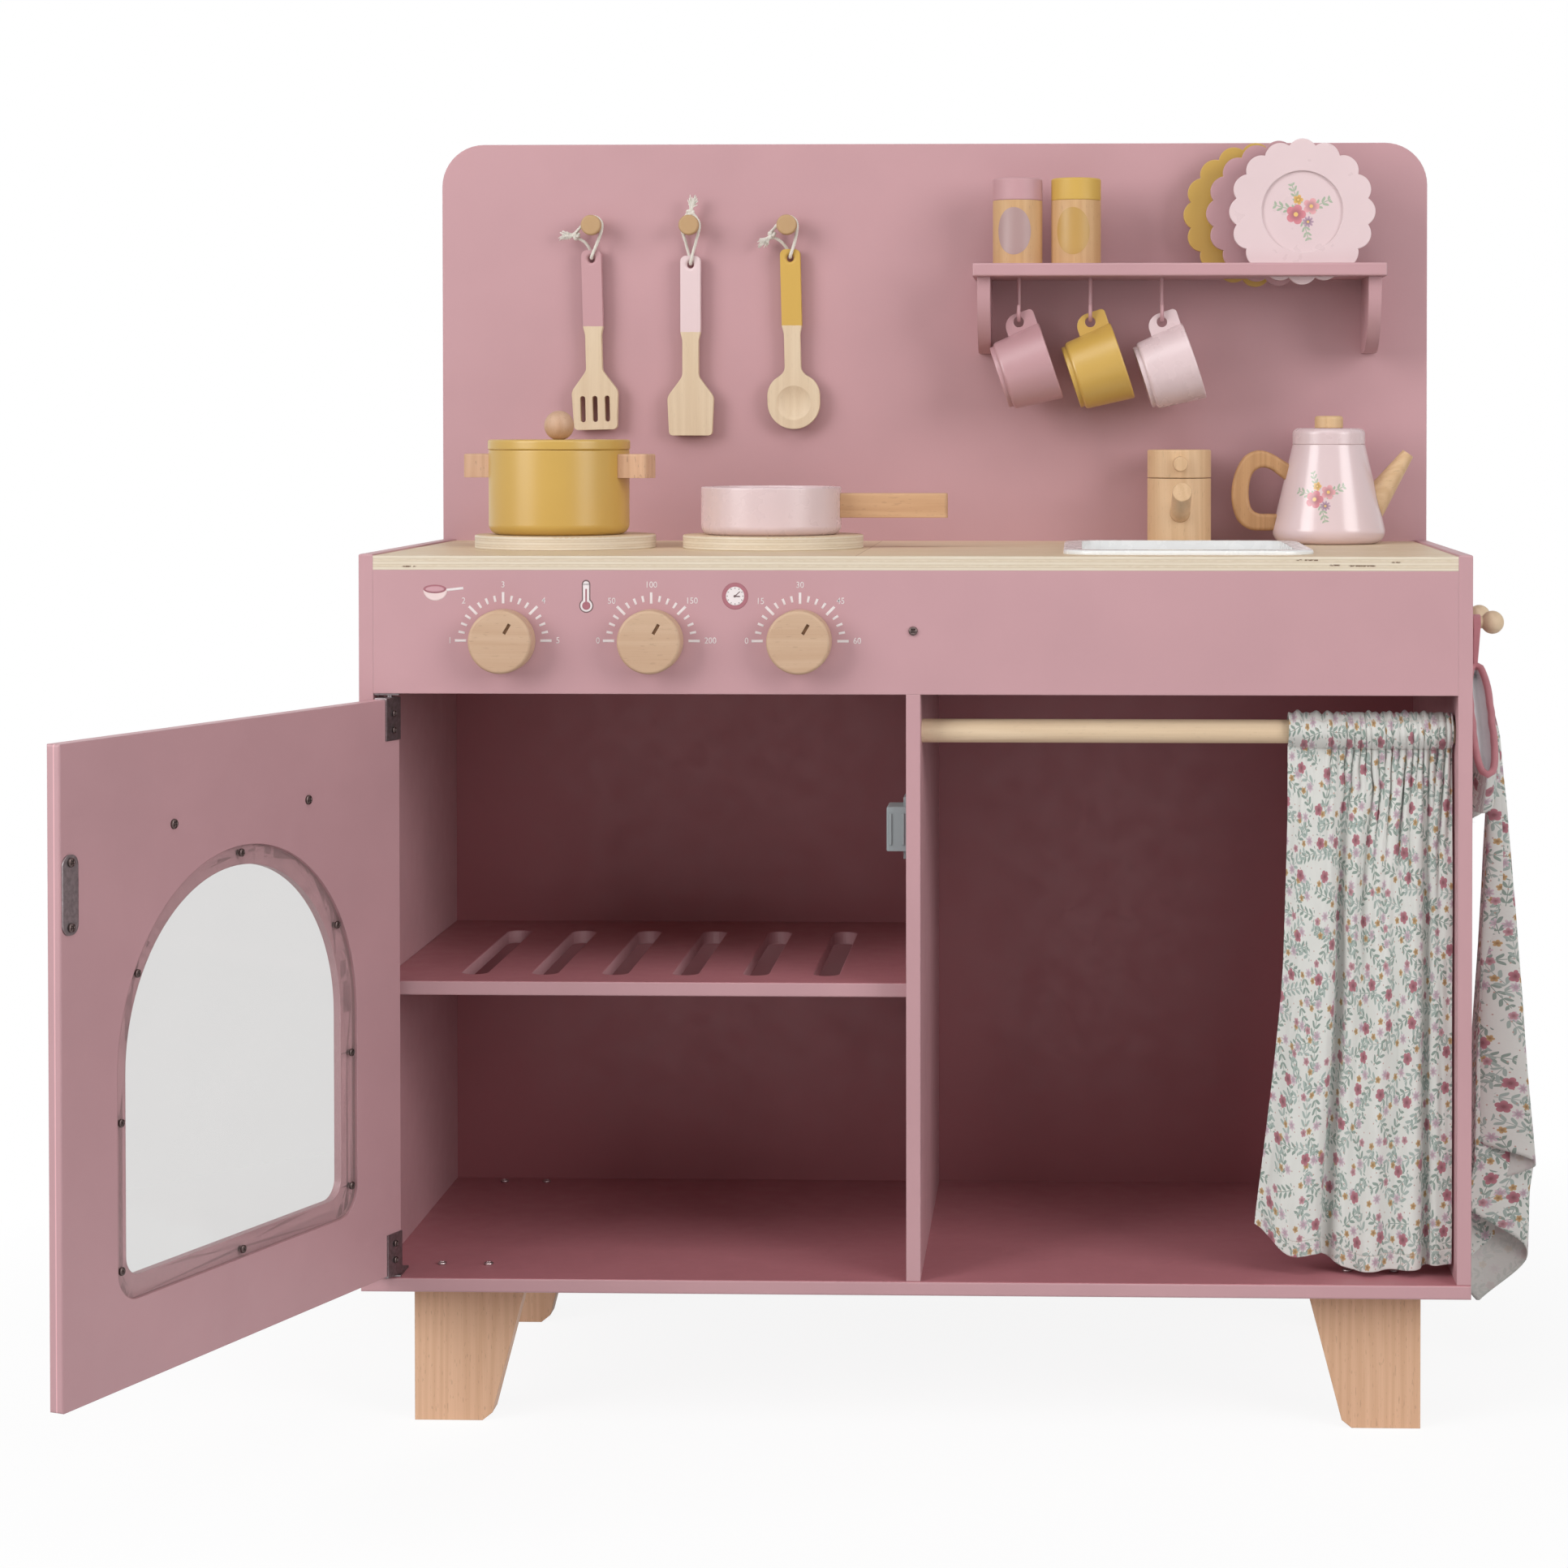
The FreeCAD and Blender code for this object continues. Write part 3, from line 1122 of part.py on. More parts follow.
def cup_hooks():
    """Bent wire hooks under the shelf, each opening to the front."""
    shelf_under = SHELF_TOP - SHELF_THICK
    bend_z = shelf_under - HOOK_DROP + HOOK_WIRE_R + HOOK_BEND_R
    y = WALL - HOOK_SETBACK
    hooks = []
    for x in hook_places():
        top, low = Vec(x, y, shelf_under), Vec(x, y, bend_z)
        front = Vec(x, y - 2 * HOOK_BEND_R, bend_z)
        deep = Vec(x, y - HOOK_BEND_R, bend_z - HOOK_BEND_R)
        path = Part.Wire([Part.makeLine(top, low), Part.Arc(low, deep, front).toShape(),
                          Part.makeLine(front, front + UP * HOOK_TIP)])
        ring = Part.Wire(Part.makeCircle(HOOK_WIRE_R, top, DOWN))
        hooks.append(path.makePipeShell([ring], True, True))
    return Part.makeCompound(hooks)


def cup(x):
    """Turned cup hung by its ear: axis turned to the right and a little up."""
    foot = CUP_FOOT_HEIGHT
    shape = turned([(0, 0, 0), (CUP_FOOT_R, 0, TURNED_ROUND), (CUP_FOOT_R, foot, 0),
                    (CUP_BASE_R, foot, CUP_ROUND),
                    (CUP_RIM_R, CUP_HEIGHT, RIM_ROUND), (CUP_RIM_R - CUP_WALL, CUP_HEIGHT, RIM_ROUND),
                    (CUP_BASE_R - CUP_WALL, foot + CUP_FLOOR, CUP_WELL_ROUND), (0, foot + CUP_FLOOR, 0)])
    eye_x = -(CUP_RIM_R + CUP_BASE_R) / 2 - CUP_EYE_HEIGHT
    eye_z = CUP_HEIGHT - CUP_EYE_DEPTH
    root = -CUP_BASE_R + CUP_WALL / 2
    crest = -(CUP_RIM_R + CUP_BASE_R) / 2 - CUP_EAR_HEIGHT
    ear_top = CUP_HEIGHT - CUP_EAR_RIM_GAP
    ear_end = CUP_HEIGHT - CUP_EAR_LENGTH
    outline = [(root, ear_end, 0), (root, ear_top, 0), (crest, ear_top, CUP_EAR_CREST_ROUND),
               (crest, ear_end, CUP_EAR_ROUND)]
    ear = plate_xz(outline, -CUP_EAR_THICK / 2, CUP_EAR_THICK / 2)
    ear = ear.cut(Part.makeCylinder(CUP_EYE_R, CUP_EAR_THICK, Vec(eye_x, -CUP_EAR_THICK / 2, eye_z), BACKWARD))
    hollow = Part.makeCone(CUP_BASE_R - CUP_WALL, CUP_RIM_R - CUP_WALL, CUP_HEIGHT - foot, Vec(0, 0, foot), UP)
    shape = shape.fuse(ear.cut(hollow)).removeSplitter()
    shape.translate(Vec(-eye_x, 0, -eye_z))
    shape.rotate(Vec(0, 0, 0), Vec(0, 1, 0), 90 - CUP_TILT)
    wire_z = SHELF_TOP - SHELF_THICK - HOOK_DROP + HOOK_WIRE_R
    hang = CUP_EYE_R - 2 * HOOK_WIRE_R + LOOSE_FIT
    shape.translate(Vec(x, WALL - HOOK_SETBACK - HOOK_BEND_R, wire_z - hang))
    return shape


def shaker(step):
    """Shaker body and the cap on it, with a fine seam groove between them."""
    x = SHELF_LEFT + SHAKER_FIRST + step * SHAKER_PITCH
    y = WALL - SHAKER_SETBACK
    seam = SHELF_TOP + SHAKER_BODY
    top = seam + SHAKER_CAP
    body = turned([(0, SHELF_TOP, 0), (SHAKER_R, SHELF_TOP, SMALL_ROUND), (SHAKER_R, seam, SHAKER_SEAM),
                   (0, seam, 0)], x, y)
    cap = turned([(0, seam, 0), (SHAKER_R, seam, SHAKER_SEAM), (SHAKER_R, top, SHAKER_ROUND),
                  (0, top, 0)], x, y)
    return Part.makeCompound([body, cap])


def plate(place):
    """Round plate with a scalloped edge and a shallow well in its front."""
    x, y = place
    z = SHELF_TOP + PLATE_R - PLATE_SINK
    front = y - PLATE_THICK / 2
    valley = PLATE_R - PLATE_LOBE

    def at(radius, lobe):
        angle = 2 * math.pi * lobe / PLATE_LOBES
        return Vec(x + radius * math.sin(angle), front, z + radius * math.cos(angle))

    arcs = [Part.Arc(at(valley, lobe - 0.5), at(PLATE_R, lobe), at(valley, lobe + 0.5)).toShape()
            for lobe in range(PLATE_LOBES)]
    disc = Part.Face(Part.Wire(arcs)).extrude(Vec(0, PLATE_THICK, 0))
    well = Part.makeCylinder(PLATE_WELL_R, PLATE_WELL_DEPTH, Vec(x, front, z), BACKWARD)
    return disc.cut(well)


def peg_places():
    return [LEFT_BAY + PEG_OFFSET + step * PEG_PITCH for step in (-1, 0, 1)]


def wall_pegs():
    pegs = []
    for x in peg_places():
        end = PEG_REACH - PEG_HEAD
        peg = turned([(0, -PEG_SEAT, 0), (PEG_R, -PEG_SEAT, 0), (PEG_R, end, 0),
                      (PEG_HEAD_R, end, TURNED_ROUND), (PEG_HEAD_R, PEG_REACH, PEG_ROUND), (0, PEG_REACH, 0)])
        peg.rotate(Vec(0, 0, 0), RIGHT, 90)
        peg.translate(Vec(x, WALL, PEG_Z))
        pegs.append(peg)
    return pegs


def eye_place(step):
    """Middle of a hung utensil's eye, on the front face of the utensil."""
    return Vec(peg_places()[step] + TOOL_SHIFTS[step], WALL - TOOL_WALL_GAP - TOOL_THICK,
               PEG_Z - TOOL_HANGS[step] - TOOL_EYE_EDGE)


def utensil(step, head_corners, hollows=()):
    """Flat wooden utensil, its half outline given as (half width, drop, round), hung by its eye."""
    grip, neck = TOOL_GRIP_WIDTH / 2, TOOL_NECK_WIDTH / 2
    half = [(grip, 0, GRIP_CORNER), (grip, TOOL_GRIP_LENGTH, TOOL_NECK_ROUND),
            (neck, TOOL_GRIP_LENGTH + TOOL_NECK_TAPER, TOOL_NECK_ROUND)] + head_corners
    corners = [(a, TOOL_EYE_EDGE - drop, r) for a, drop, r in half]
    corners += [(-a, TOOL_EYE_EDGE - drop, r) for a, drop, r in reversed(half)]
    tool = plate_xz(corners, 0, TOOL_THICK)
    tool = tool.cut(Part.makeCylinder(TOOL_EYE_R, TOOL_THICK, Vec(0, 0, 0), BACKWARD))
    tool = softened(tool, TOOL_EYE_ROUND, is_eye_rim)
    for hollow in hollows:
        tool = tool.cut(hollow)
    tool.rotate(Vec(0, 0, 0), Vec(0, 1, 0), TOOL_LEANS[step])
    tool.translate(eye_place(step))
    return tool


def is_eye_rim(edge):
    radius = getattr(edge.Curve, "Radius", 0)
    return edge.Closed and abs(radius - TOOL_EYE_R) < 1e-4


def turner_head():
    flare = TOOL_LENGTH - BLADE_LENGTH
    return [(TOOL_NECK_WIDTH / 2, flare, HEAD_ROUND), (BLADE_WIDTH / 2, flare + BLADE_SHOULDER, HEAD_ROUND),
            (BLADE_FOOT_WIDTH / 2, TOOL_LENGTH, BLADE_CORNER)]


def flat_turner():
    return utensil(1, turner_head())


def slotted_turner():
    slot_z = TOOL_EYE_EDGE - TOOL_LENGTH + BLADE_SLOT_EDGE + BLADE_SLOT_LENGTH / 2
    slots = []
    for i in range(BLADE_SLOTS):
        x = (i - (BLADE_SLOTS - 1) / 2) * BLADE_SLOT_PITCH
        slot = rectangle(x, slot_z, BLADE_SLOT_WIDTH, BLADE_SLOT_LENGTH, BLADE_SLOT_WIDTH / 2)
        slots.append(plate_xz(slot, 0, TOOL_THICK))
    return utensil(0, turner_head(), slots)


def stirring_spoon():
    """Spoon with a round bowl that has a shallow ball-shaped hollow in its front."""
    neck_end = TOOL_LENGTH - 2 * SPOON_R
    head = [(TOOL_NECK_WIDTH / 2, neck_end - SPOON_NECK_FLARE, HEAD_ROUND),
            (SPOON_R, neck_end + SPOON_NECK_FLARE, SPOON_SHOULDER_R),
            (SPOON_R, TOOL_LENGTH, SPOON_R)]
    centre = Vec(0, SPOON_HOLLOW_DEPTH - SPOON_HOLLOW_R, TOOL_EYE_EDGE - TOOL_LENGTH + SPOON_R)
    return utensil(2, head, [Part.makeSphere(SPOON_HOLLOW_R, centre)])


def cord_tube(points):
    """Tube along straight runs joined by tangent arcs, each arc as large as its two runs allow."""
    points = [Vec(*point) for point in points]
    edges = []
    start = points[0]
    radii = []
    for before, here, after in zip(points, points[1:], points[2:]):
        back, ahead = (before - here), (after - here)
        run = min(back.Length, ahead.Length)
        back.normalize()
        ahead.normalize()
        half = back.getAngle(ahead) / 2
        reach = 0.45 * run
        radius = reach * math.tan(half)
        entry, leave = here + back * reach, here + ahead * reach
        middle = here + (back + ahead).normalize() * (radius / math.sin(half) - radius)
        edges += [Part.makeLine(start, entry), Part.Arc(entry, middle, leave).toShape()]
        start = leave
        radii.append(round(radius, 1))
    edges.append(Part.makeLine(start, points[-1]))
    path = Part.Wire(edges)
    ring = Part.Wire(Part.makeCircle(CORD_R, points[0], points[1] - points[0]))
    tube = path.makePipeShell([ring], True, False)
    section = math.pi * CORD_R ** 2
    share = tube.Volume / section / path.Length
    print("cord length %.1f, volume share %.3f, radii %s" % (path.Length, share, radii))
    return tube


def cord_loop(step, route):
    """Cord loop of a utensil; route gives its points from the peg's axis at the wall."""
    return cord_tube([Vec(peg_places()[step], WALL, PEG_Z) + Vec(*point) for point in route])


def side_peg_places():
    return [SIDE_PEG_MIDDLE - SIDE_PEG_PITCH / 2, SIDE_PEG_MIDDLE + SIDE_PEG_PITCH / 2]


def side_pegs():
    pegs = []
    for y in side_peg_places():
        stem = Part.makeCylinder(SIDE_PEG_R, BOARD + SIDE_PEG_REACH, Vec(INNER, y, SIDE_PEG_Z), RIGHT)
        ball = Part.makeSphere(SIDE_PEG_BALL_R, Vec(WIDTH / 2 + SIDE_PEG_REACH, y, SIDE_PEG_Z))
        pegs.append(stem.fuse(ball).removeSplitter())
    return pegs


def hanging_loop(y):
    """Cloth loop over a side peg, a narrow band that hangs from the peg's stem."""
    inside = SIDE_PEG_R + LOOSE_FIT
    outside = inside + LOOP_THICK
    x = WIDTH / 2 + LOOP_OUT
    low = SIDE_PEG_Z - LOOP_LENGTH
    outer = [(y - outside, low, outside * 0.9), (y + outside, low, outside * 0.9),
             (y + outside, SIDE_PEG_Z + outside, outside), (y - outside, SIDE_PEG_Z + outside, outside)]
    inner = [(y - inside, low + LOOP_THICK, inside * 0.9), (y + inside, low + LOOP_THICK, inside * 0.9),
             (y + inside, SIDE_PEG_Z + inside, inside), (y - inside, SIDE_PEG_Z + inside, inside)]
    return plate_yz(outer, x, x + LOOP_WIDTH).cut(plate_yz(inner, x, x + LOOP_WIDTH))


def mitt_outline(grow):
    """Mitt's outline seen from the side: cuff along a = 0, fingers at the far end, thumb above."""
    cuff, length = MITT_CUFF + grow, MITT_LENGTH + grow
    return [(0, grow, 4), (0, -cuff, 4), (length * 0.55, -cuff * 0.98, 30), (length, -cuff * 0.9, 34),
            (length, -cuff * 0.32, 30), (length * 0.62, -cuff * 0.3, 10), (length * 0.72, cuff * 0.02, 15),
            (length * 0.42, cuff * 0.06 + grow, 16)]


def mitt_place(x, a, b):
    """Point of the mitt's own plane, turned about the cuff's upper corner where the loop holds it."""
    turn = math.radians(MITT_TURN)
    y0 = side_peg_places()[0]
    z0 = SIDE_PEG_Z - LOOP_LENGTH + MITT_SEAM
    return Vec(x, y0 + a * math.cos(turn) + b * math.sin(turn), z0 - a * math.sin(turn) + b * math.cos(turn))


def oven_mitt():
    """Padded mitt hung by its loop, crowned on both faces and open at the cuff."""
    near = WIDTH / 2 + MITT_SIDE_GAP
    sections = []
    for depth, grow in ((0, -MITT_CROWN), (0.3, 0), (0.7, 0), (1, -MITT_CROWN)):
        x = near + depth * MITT_THICK
        sections.append(rounded_wire(mitt_outline(grow), lambda a, b, x=x: mitt_place(x, a, b)))
    body = Part.makeLoft(sections, True, True)
    pocket = [(-MITT_WALL * 3, -MITT_WALL * 3, 0), (-MITT_WALL * 3, -MITT_CUFF + MITT_WALL * 2, 0),
              (MITT_POCKET, -MITT_CUFF * 0.8, 24), (MITT_POCKET, -MITT_CUFF * 0.36, 16)]
    hollow = Part.Face(rounded_wire(pocket, lambda a, b: mitt_place(near + MITT_WALL, a, b)))
    body = body.cut(hollow.extrude(Vec(MITT_THICK - 2 * MITT_WALL, 0, 0)))
    return body.fuse(hanging_loop(side_peg_places()[0])).removeSplitter()


def tea_towel():
    """Square cloth hung by one corner: its folds open out downwards and close to the lowest corner."""
    peg_y = side_peg_places()[1]
    near = WIDTH / 2 + TOWEL_SIDE_GAP
    sections = []
    for share, front, back, inside, outside in TOWEL_SPREAD:
        z = TOWEL_TOP - share * (TOWEL_TOP - TOWEL_FLOOR_GAP)
        width = back - front

        def place(a, b, z=z, front=front, width=width, inside=inside, outside=outside):
            return Vec(near + inside + (outside - inside) * a / width + b, peg_y + front + a, z)

        sections.append(fold_section([1] * TOWEL_HALF_FOLDS, width, TOWEL_FOLD, TOWEL_THICK, place))
    cloth = Part.makeLoft(sections, True, True)
    return cloth.fuse(hanging_loop(peg_y)).removeSplitter()


def all_parts():
    parts = {
        "side_panel_left": side_panel(-1), "side_panel_right": side_panel(1), "bottom_panel": bottom_panel(),
        "divider_panel": divider_panel(), "cabinet_back": cabinet_back(), "splashback": splashback(),
        "worktop": worktop(), "control_panel": control_panel(), "oven_rack": oven_rack(),
        "curtain_rod": curtain_rod(), "legs": legs(), "cabinet_screws": cabinet_screws(),
        "hinge_fixed_leaves": hinge_fixed_leaves(), "magnet_catch": magnet_catch(),
        "hob_discs": hob_discs(), "sink_basin": sink_basin(),
        "faucet_body": faucet_body(), "faucet_spout": faucet_spout(), "faucet_cap": faucet_cap(),
        "door_panel": door_panel(), "door_window": door_window(), "door_handle": door_handle(),
        "strike_plate": strike_plate(), "hinge_door_leaves": hinge_door_leaves(), "door_screws": door_screws(),
        "curtain": curtain(), "pot_body": pot_body(), "pot_handles": pot_handles(), "pot_lid": pot_lid(),
        "pot_lid_knob": pot_lid_knob(), "pan_body": pan_body(), "pan_handle": pan_handle(),
        "teapot_body": teapot_body(), "teapot_handle": teapot_handle(), "teapot_spout": teapot_spout(),
        "teapot_lid": teapot_lid(), "teapot_lid_knob": teapot_lid_knob(), "spice_shelf": spice_shelf(),
        "shelf_brackets": shelf_brackets(), "cup_hooks": cup_hooks(),
        "hanging_pegs": Part.makeCompound(wall_pegs() + side_pegs()),
        "slotted_turner": slotted_turner(), "flat_turner": flat_turner(),
        "stirring_spoon": stirring_spoon(), "oven_mitt": oven_mitt(), "tea_towel": tea_towel(),
    }
    for name, x in zip(("knob_heat", "knob_temperature", "knob_timer"), knob_places()):
        parts[name] = knob(x)
    for name, x in zip(("cup_rose", "cup_mustard", "cup_blush"), hook_places()):
        parts[name] = cup(x)
    for name, place in zip(("plate_mustard", "plate_rose", "plate_blush"), plate_places()):
        parts[name] = plate(place)
    for step, name in enumerate(("salt_shaker", "pepper_shaker")):
        parts[name] = shaker(step)
    for step, (name, route) in enumerate(CORD_ROUTES.items()):
        parts[name] = cord_loop(step, route)
    return parts


os.makedirs("parts", exist_ok=True)
for node, shape in all_parts().items():
    shape.exportStep("parts/%s.step" % node)
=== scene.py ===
"""Toy kitchen: finishes, cloth, cords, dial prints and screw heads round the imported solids."""

import random
from math import acos, cos, exp, floor, hypot, pi, radians, sin, sqrt, tan

import bmesh
import bpy
from mathutils import Matrix, Vector, noise


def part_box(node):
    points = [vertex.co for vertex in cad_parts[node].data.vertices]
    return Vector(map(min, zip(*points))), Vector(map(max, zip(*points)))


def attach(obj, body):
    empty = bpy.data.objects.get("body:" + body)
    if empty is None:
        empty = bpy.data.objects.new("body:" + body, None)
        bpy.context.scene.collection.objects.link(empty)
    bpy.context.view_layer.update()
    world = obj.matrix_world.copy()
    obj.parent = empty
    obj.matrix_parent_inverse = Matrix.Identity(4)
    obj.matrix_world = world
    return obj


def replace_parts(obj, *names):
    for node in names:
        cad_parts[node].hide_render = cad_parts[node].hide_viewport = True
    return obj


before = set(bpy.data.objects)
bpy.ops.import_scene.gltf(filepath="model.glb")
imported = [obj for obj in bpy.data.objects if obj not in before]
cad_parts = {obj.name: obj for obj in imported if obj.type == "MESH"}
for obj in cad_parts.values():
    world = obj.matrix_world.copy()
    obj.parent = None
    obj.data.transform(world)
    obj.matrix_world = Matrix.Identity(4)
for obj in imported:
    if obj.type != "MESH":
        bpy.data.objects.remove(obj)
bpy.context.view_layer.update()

MM = 0.001
TAU = 2 * pi
WHITE = (1.0, 1.0, 1.0, 1.0)


def box_of(node):
    """Low and high corner of a solid, in millimetres."""
    return [Vector([round(level / MM, 3) for level in corner]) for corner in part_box(node)]


def middle_of(node):
    low, high = box_of(node)
    return (low + high) / 2


# Levels and faces of the solids, in millimetres
FRONT = box_of("control_panel")[0].y
WALL = box_of("splashback")[0].y
DECK = box_of("worktop")[1].z
BOARD = DECK - box_of("worktop")[0].z
SHELF_TOP = box_of("spice_shelf")[1].z
ROD = middle_of("curtain_rod")
ROD_R = box_of("curtain_rod")[1].z - ROD.z
PLATE = middle_of("plate_blush")
# Places inside solids that hold several pieces, and the middles of the printed scales
PEG_Z = 778.7
PEG_XS = (-240.9, -171.6, -102.3)
KNOB_XS = (-258.5, -164.9, -71.1)
KNOB_Z = 501.5
KNOB_CUT_DEPTH = 3.0
KNOB_CUT_REACH = 15.0
SIDE_PEG_X = 364.4
SIDE_PEG_Z = 508.0
MITT_PEG_Y = -39.5
TOWEL_PEG_Y = 31.5
TEAPOT_X, TEAPOT_Y = 277.7, 90.5


def put(thing, **settings):
    """Sets attributes in the order given, and hands the thing back."""
    for key, value in settings.items():
        setattr(thing, key, value)
    return thing


def tint(red, green, blue):
    """Screen values from 0 to 255 as a shader colour."""
    def linear(level):
        level /= 255
        return level / 12.92 if level <= 0.04045 else ((level + 0.055) / 1.055) ** 2.4
    return linear(red), linear(green), linear(blue), 1.0


def dimmed(colour, share):
    return tuple(level * share for level in colour[:3]) + (1.0,)


ROSE = tint(190, 147, 152)
MUSTARD = tint(201, 163, 81)
BLUSH = tint(221, 198, 200)


def worked(what):
    """A method that puts a shader value through one step of arithmetic."""
    return lambda self, *others: self.wires.math(what, self, *others)


class Value:
    """A shader value that takes plain arithmetic."""

    __add__, __sub__, __mul__ = worked("ADD"), worked("SUBTRACT"), worked("MULTIPLY")
    __truediv__, __mod__, __abs__ = worked("DIVIDE"), worked("FLOORED_MODULO"), worked("ABSOLUTE")

    def __init__(self, wires, socket):
        self.wires, self.socket = wires, socket

    def __rsub__(self, other):
        return self.wires.math("SUBTRACT", other, self)


class Wires:
    """A node tree written in short calls."""

    def __init__(self, owner):
        owner.use_nodes = True
        self.tree = owner.node_tree

    def new(self, kind, **settings):
        return put(self.tree.nodes.new("ShaderNode" + kind), **settings)

    def feed(self, made, values):
        for key, value in values.items():
            if isinstance(value, Value):
                value = value.socket
            if isinstance(value, bpy.types.NodeSocket):
                self.tree.links.new(made.inputs[key], value)
            else:
                made.inputs[key].default_value = value
        return made

    def math(self, what, *values):
        made = self.new("Math", operation=what)
        return Value(self, self.feed(made, dict(enumerate(values))).outputs[0])

    def vector(self, what, *values):
        made = self.feed(self.new("VectorMath", operation=what), dict(enumerate(values)))
        if what in ("DOT_PRODUCT", "LENGTH"):
            return Value(self, made.outputs["Value"])
        return made.outputs["Vector"]

    def scaled(self, value, factor):
        made = self.new("VectorMath", operation="SCALE")
        return self.feed(made, {"Vector": value, "Scale": factor}).outputs["Vector"]

    def turned(self, value, angle):
        made = self.new("VectorRotate", rotation_type="Z_AXIS")
        return self.parts(self.feed(made, {"Vector": value, "Angle": angle}).outputs[0])

    def parts(self, value):
        return [Value(self, part) for part in self.feed(self.new("SeparateXYZ"), {"Vector": value}).outputs]

    def join(self, x, y, z=0.0):
        return self.feed(self.new("CombineXYZ"), {"X": x, "Y": y, "Z": z}).outputs[0]

    def span(self, value, low, high, start=0.0, end=1.0, how="LINEAR"):
        """A value from low to high brought to start to end, and held there outside."""
        made = self.new("MapRange", interpolation_type=how)
        return Value(self, self.feed(made, {0: value, 1: low, 2: high, 3: start, 4: end}).outputs[0])

    def below(self, value, limit, soft):
        """1 where the value is under the limit and 0 over it, with a soft border."""
        return self.span(value, limit + soft, limit - soft, how="SMOOTHSTEP")

    def wave(self, value, length=1.0):
        """From 0 to 1 and back over each length."""
        return self.span(self.math("SINE", value * (TAU / length)), -1, 1)

    def mix(self, share, first, second):
        made = self.new("Mix", data_type="RGBA")
        return self.feed(made, {0: share, 6: first, 7: second}).outputs[2]

    def seen(self):
        """1 for rays that show the background: from the camera, in a reflection or through a clear sheet."""
        path = self.new("LightPath").outputs
        value = path["Is Camera Ray"]
        for ray in ("Is Glossy Ray", "Is Transmission Ray"):
            value = self.math("MAXIMUM", value, path[ray])
        return value


class Look(Wires):
    """A Principled material. Lengths in its patterns are millimetres."""

    def __init__(self, name, **constants):
        self.material = bpy.data.materials.new(name)
        super().__init__(self.material)
        self.shader = self.tree.nodes["Principled BSDF"]
        self.feed(self.shader, {socket.replace("_", " "): value for socket, value in constants.items()})
        self.place = self.scaled(self.new("TexCoord").outputs["Object"], 1000)

    def own(self):
        """The face's own normal."""
        return self.new("NewGeometry").outputs["Normal"]

    def stretched(self, *shares):
        return self.vector("MULTIPLY", self.place, shares)

    def noise(self, size, detail=2.0, place=None):
        """Cloudy values round 0.5, with clouds about size across."""
        made = self.new("TexNoise")
        self.feed(made, {"Vector": place or self.place, "Scale": 1 / size, "Detail": detail})
        return Value(self, made.outputs["Fac"])

    def cloud(self, size, detail=2.0, start=0.0, end=1.0, place=None):
        """Clouds with more contrast, from start to end."""
        return self.span(self.noise(size, detail, place), 0.3, 0.7, start, end)

    def bump(self, height, depth, normal=None):
        """Normal from a height of 0 to 1 that stands for depth in millimetres."""
        made = self.feed(self.new("Bump"), {"Height": height, "Distance": depth * MM, "Strength": 1.0})
        if normal is not None:
            self.feed(made, {"Normal": normal})
        return made.outputs[0]

    def soft_edge(self, radius):
        return self.feed(self.new("Bevel", samples=6), {"Radius": radius * MM}).outputs[0]

    def edges(self, rounded):
        """1 on rounded edges, where the rounded normal leaves the face's own; painted() mixes the paint paler
        there, partly wear and partly painted highlight.
        """
        return self.span(self.vector("DOT_PRODUCT", rounded, self.own()), 0.995, 0.80)

    def done(self, colour, rough, normal=None):
        self.feed(self.shader, {"Base Color": colour, "Roughness": rough})
        if normal is not None:
            self.feed(self.shader, {"Normal": normal})
        return self.material


# Finishes

SATIN = (0.40, 0.52)
LACQUER = (0.28, 0.36)
WOOD_EDGE = 0.7
PLIES = 5


def painted(name, colour, round_over=0.9, cover=None, gloss=SATIN):
    """Sprayed paint on board or wood: faint clouds, a fine peel and paler edges, partly wear and partly
    painted highlight.
    """
    look = Look(name, Specular_IOR_Level=0.6)
    rounded = look.soft_edge(round_over)
    pale = tuple(min(1.0, level * 1.08 + 0.012) for level in colour[:3]) + (1.0,)
    body = look.mix(look.cloud(85, 3), dimmed(colour, 0.93), colour)
    body = look.mix(look.span(look.noise(1.5), 0.55, 0.8) * 0.10, body, pale)
    if cover:
        body = cover(look, body)
    # Paler edges: partly wear, partly a painted highlight where the rounded edges catch the light.
    body = look.mix(look.edges(rounded) * gloss[0], body, pale)
    rough = look.span(look.noise(14, 3), 0.25, 0.75, *gloss)
    peel = look.bump(look.noise(1.9), 0.1 * max(0.0, gloss[0] - 0.15), rounded)
    return look.done(body, rough, peel)


def grain_of(look, light, dark, grain, band, flecks):
    """Colour and height of plain-sawn wood with its grain along axis 0, 1 or 2."""
    def drawn_out(share):
        return look.stretched(*(share if axis == grain else 1.0 for axis in range(3)))

    lay = drawn_out(0.055)
    first, second = (part for axis, part in enumerate(look.parts(look.place)) if axis != grain)
    bands = look.wave((second * 0.6 + first) / band + look.noise(21, 2, lay) * 4.5)
    fibre = look.noise(0.75, 3, drawn_out(0.018))
    tone = bands * 0.30 + fibre * 0.55 + look.noise(32, 2, lay) * 0.45
    colour = look.mix(look.span(tone, 0.28, 0.95), light, dark)
    if flecks:
        dashes = look.noise(1.1, 1, drawn_out(0.2))
        colour = look.mix(look.span(dashes, 0.66, 0.72, 0.0, flecks), colour, dimmed(dark, 0.55))
    return colour, fibre


def wooden(name, light, dark, grain, band=6.5, flecks=0.35, cover=None):
    """Bare sanded hardwood under a thin clear coat."""
    look = Look(name, Specular_IOR_Level=0.4)
    colour, fibre = grain_of(look, light, dark, grain, band, flecks)
    if cover:
        colour = cover(look, colour)
    return look.done(colour, look.cloud(9, 2, 0.46, 0.60), look.bump(fibre, 0.05, look.soft_edge(WOOD_EDGE)))


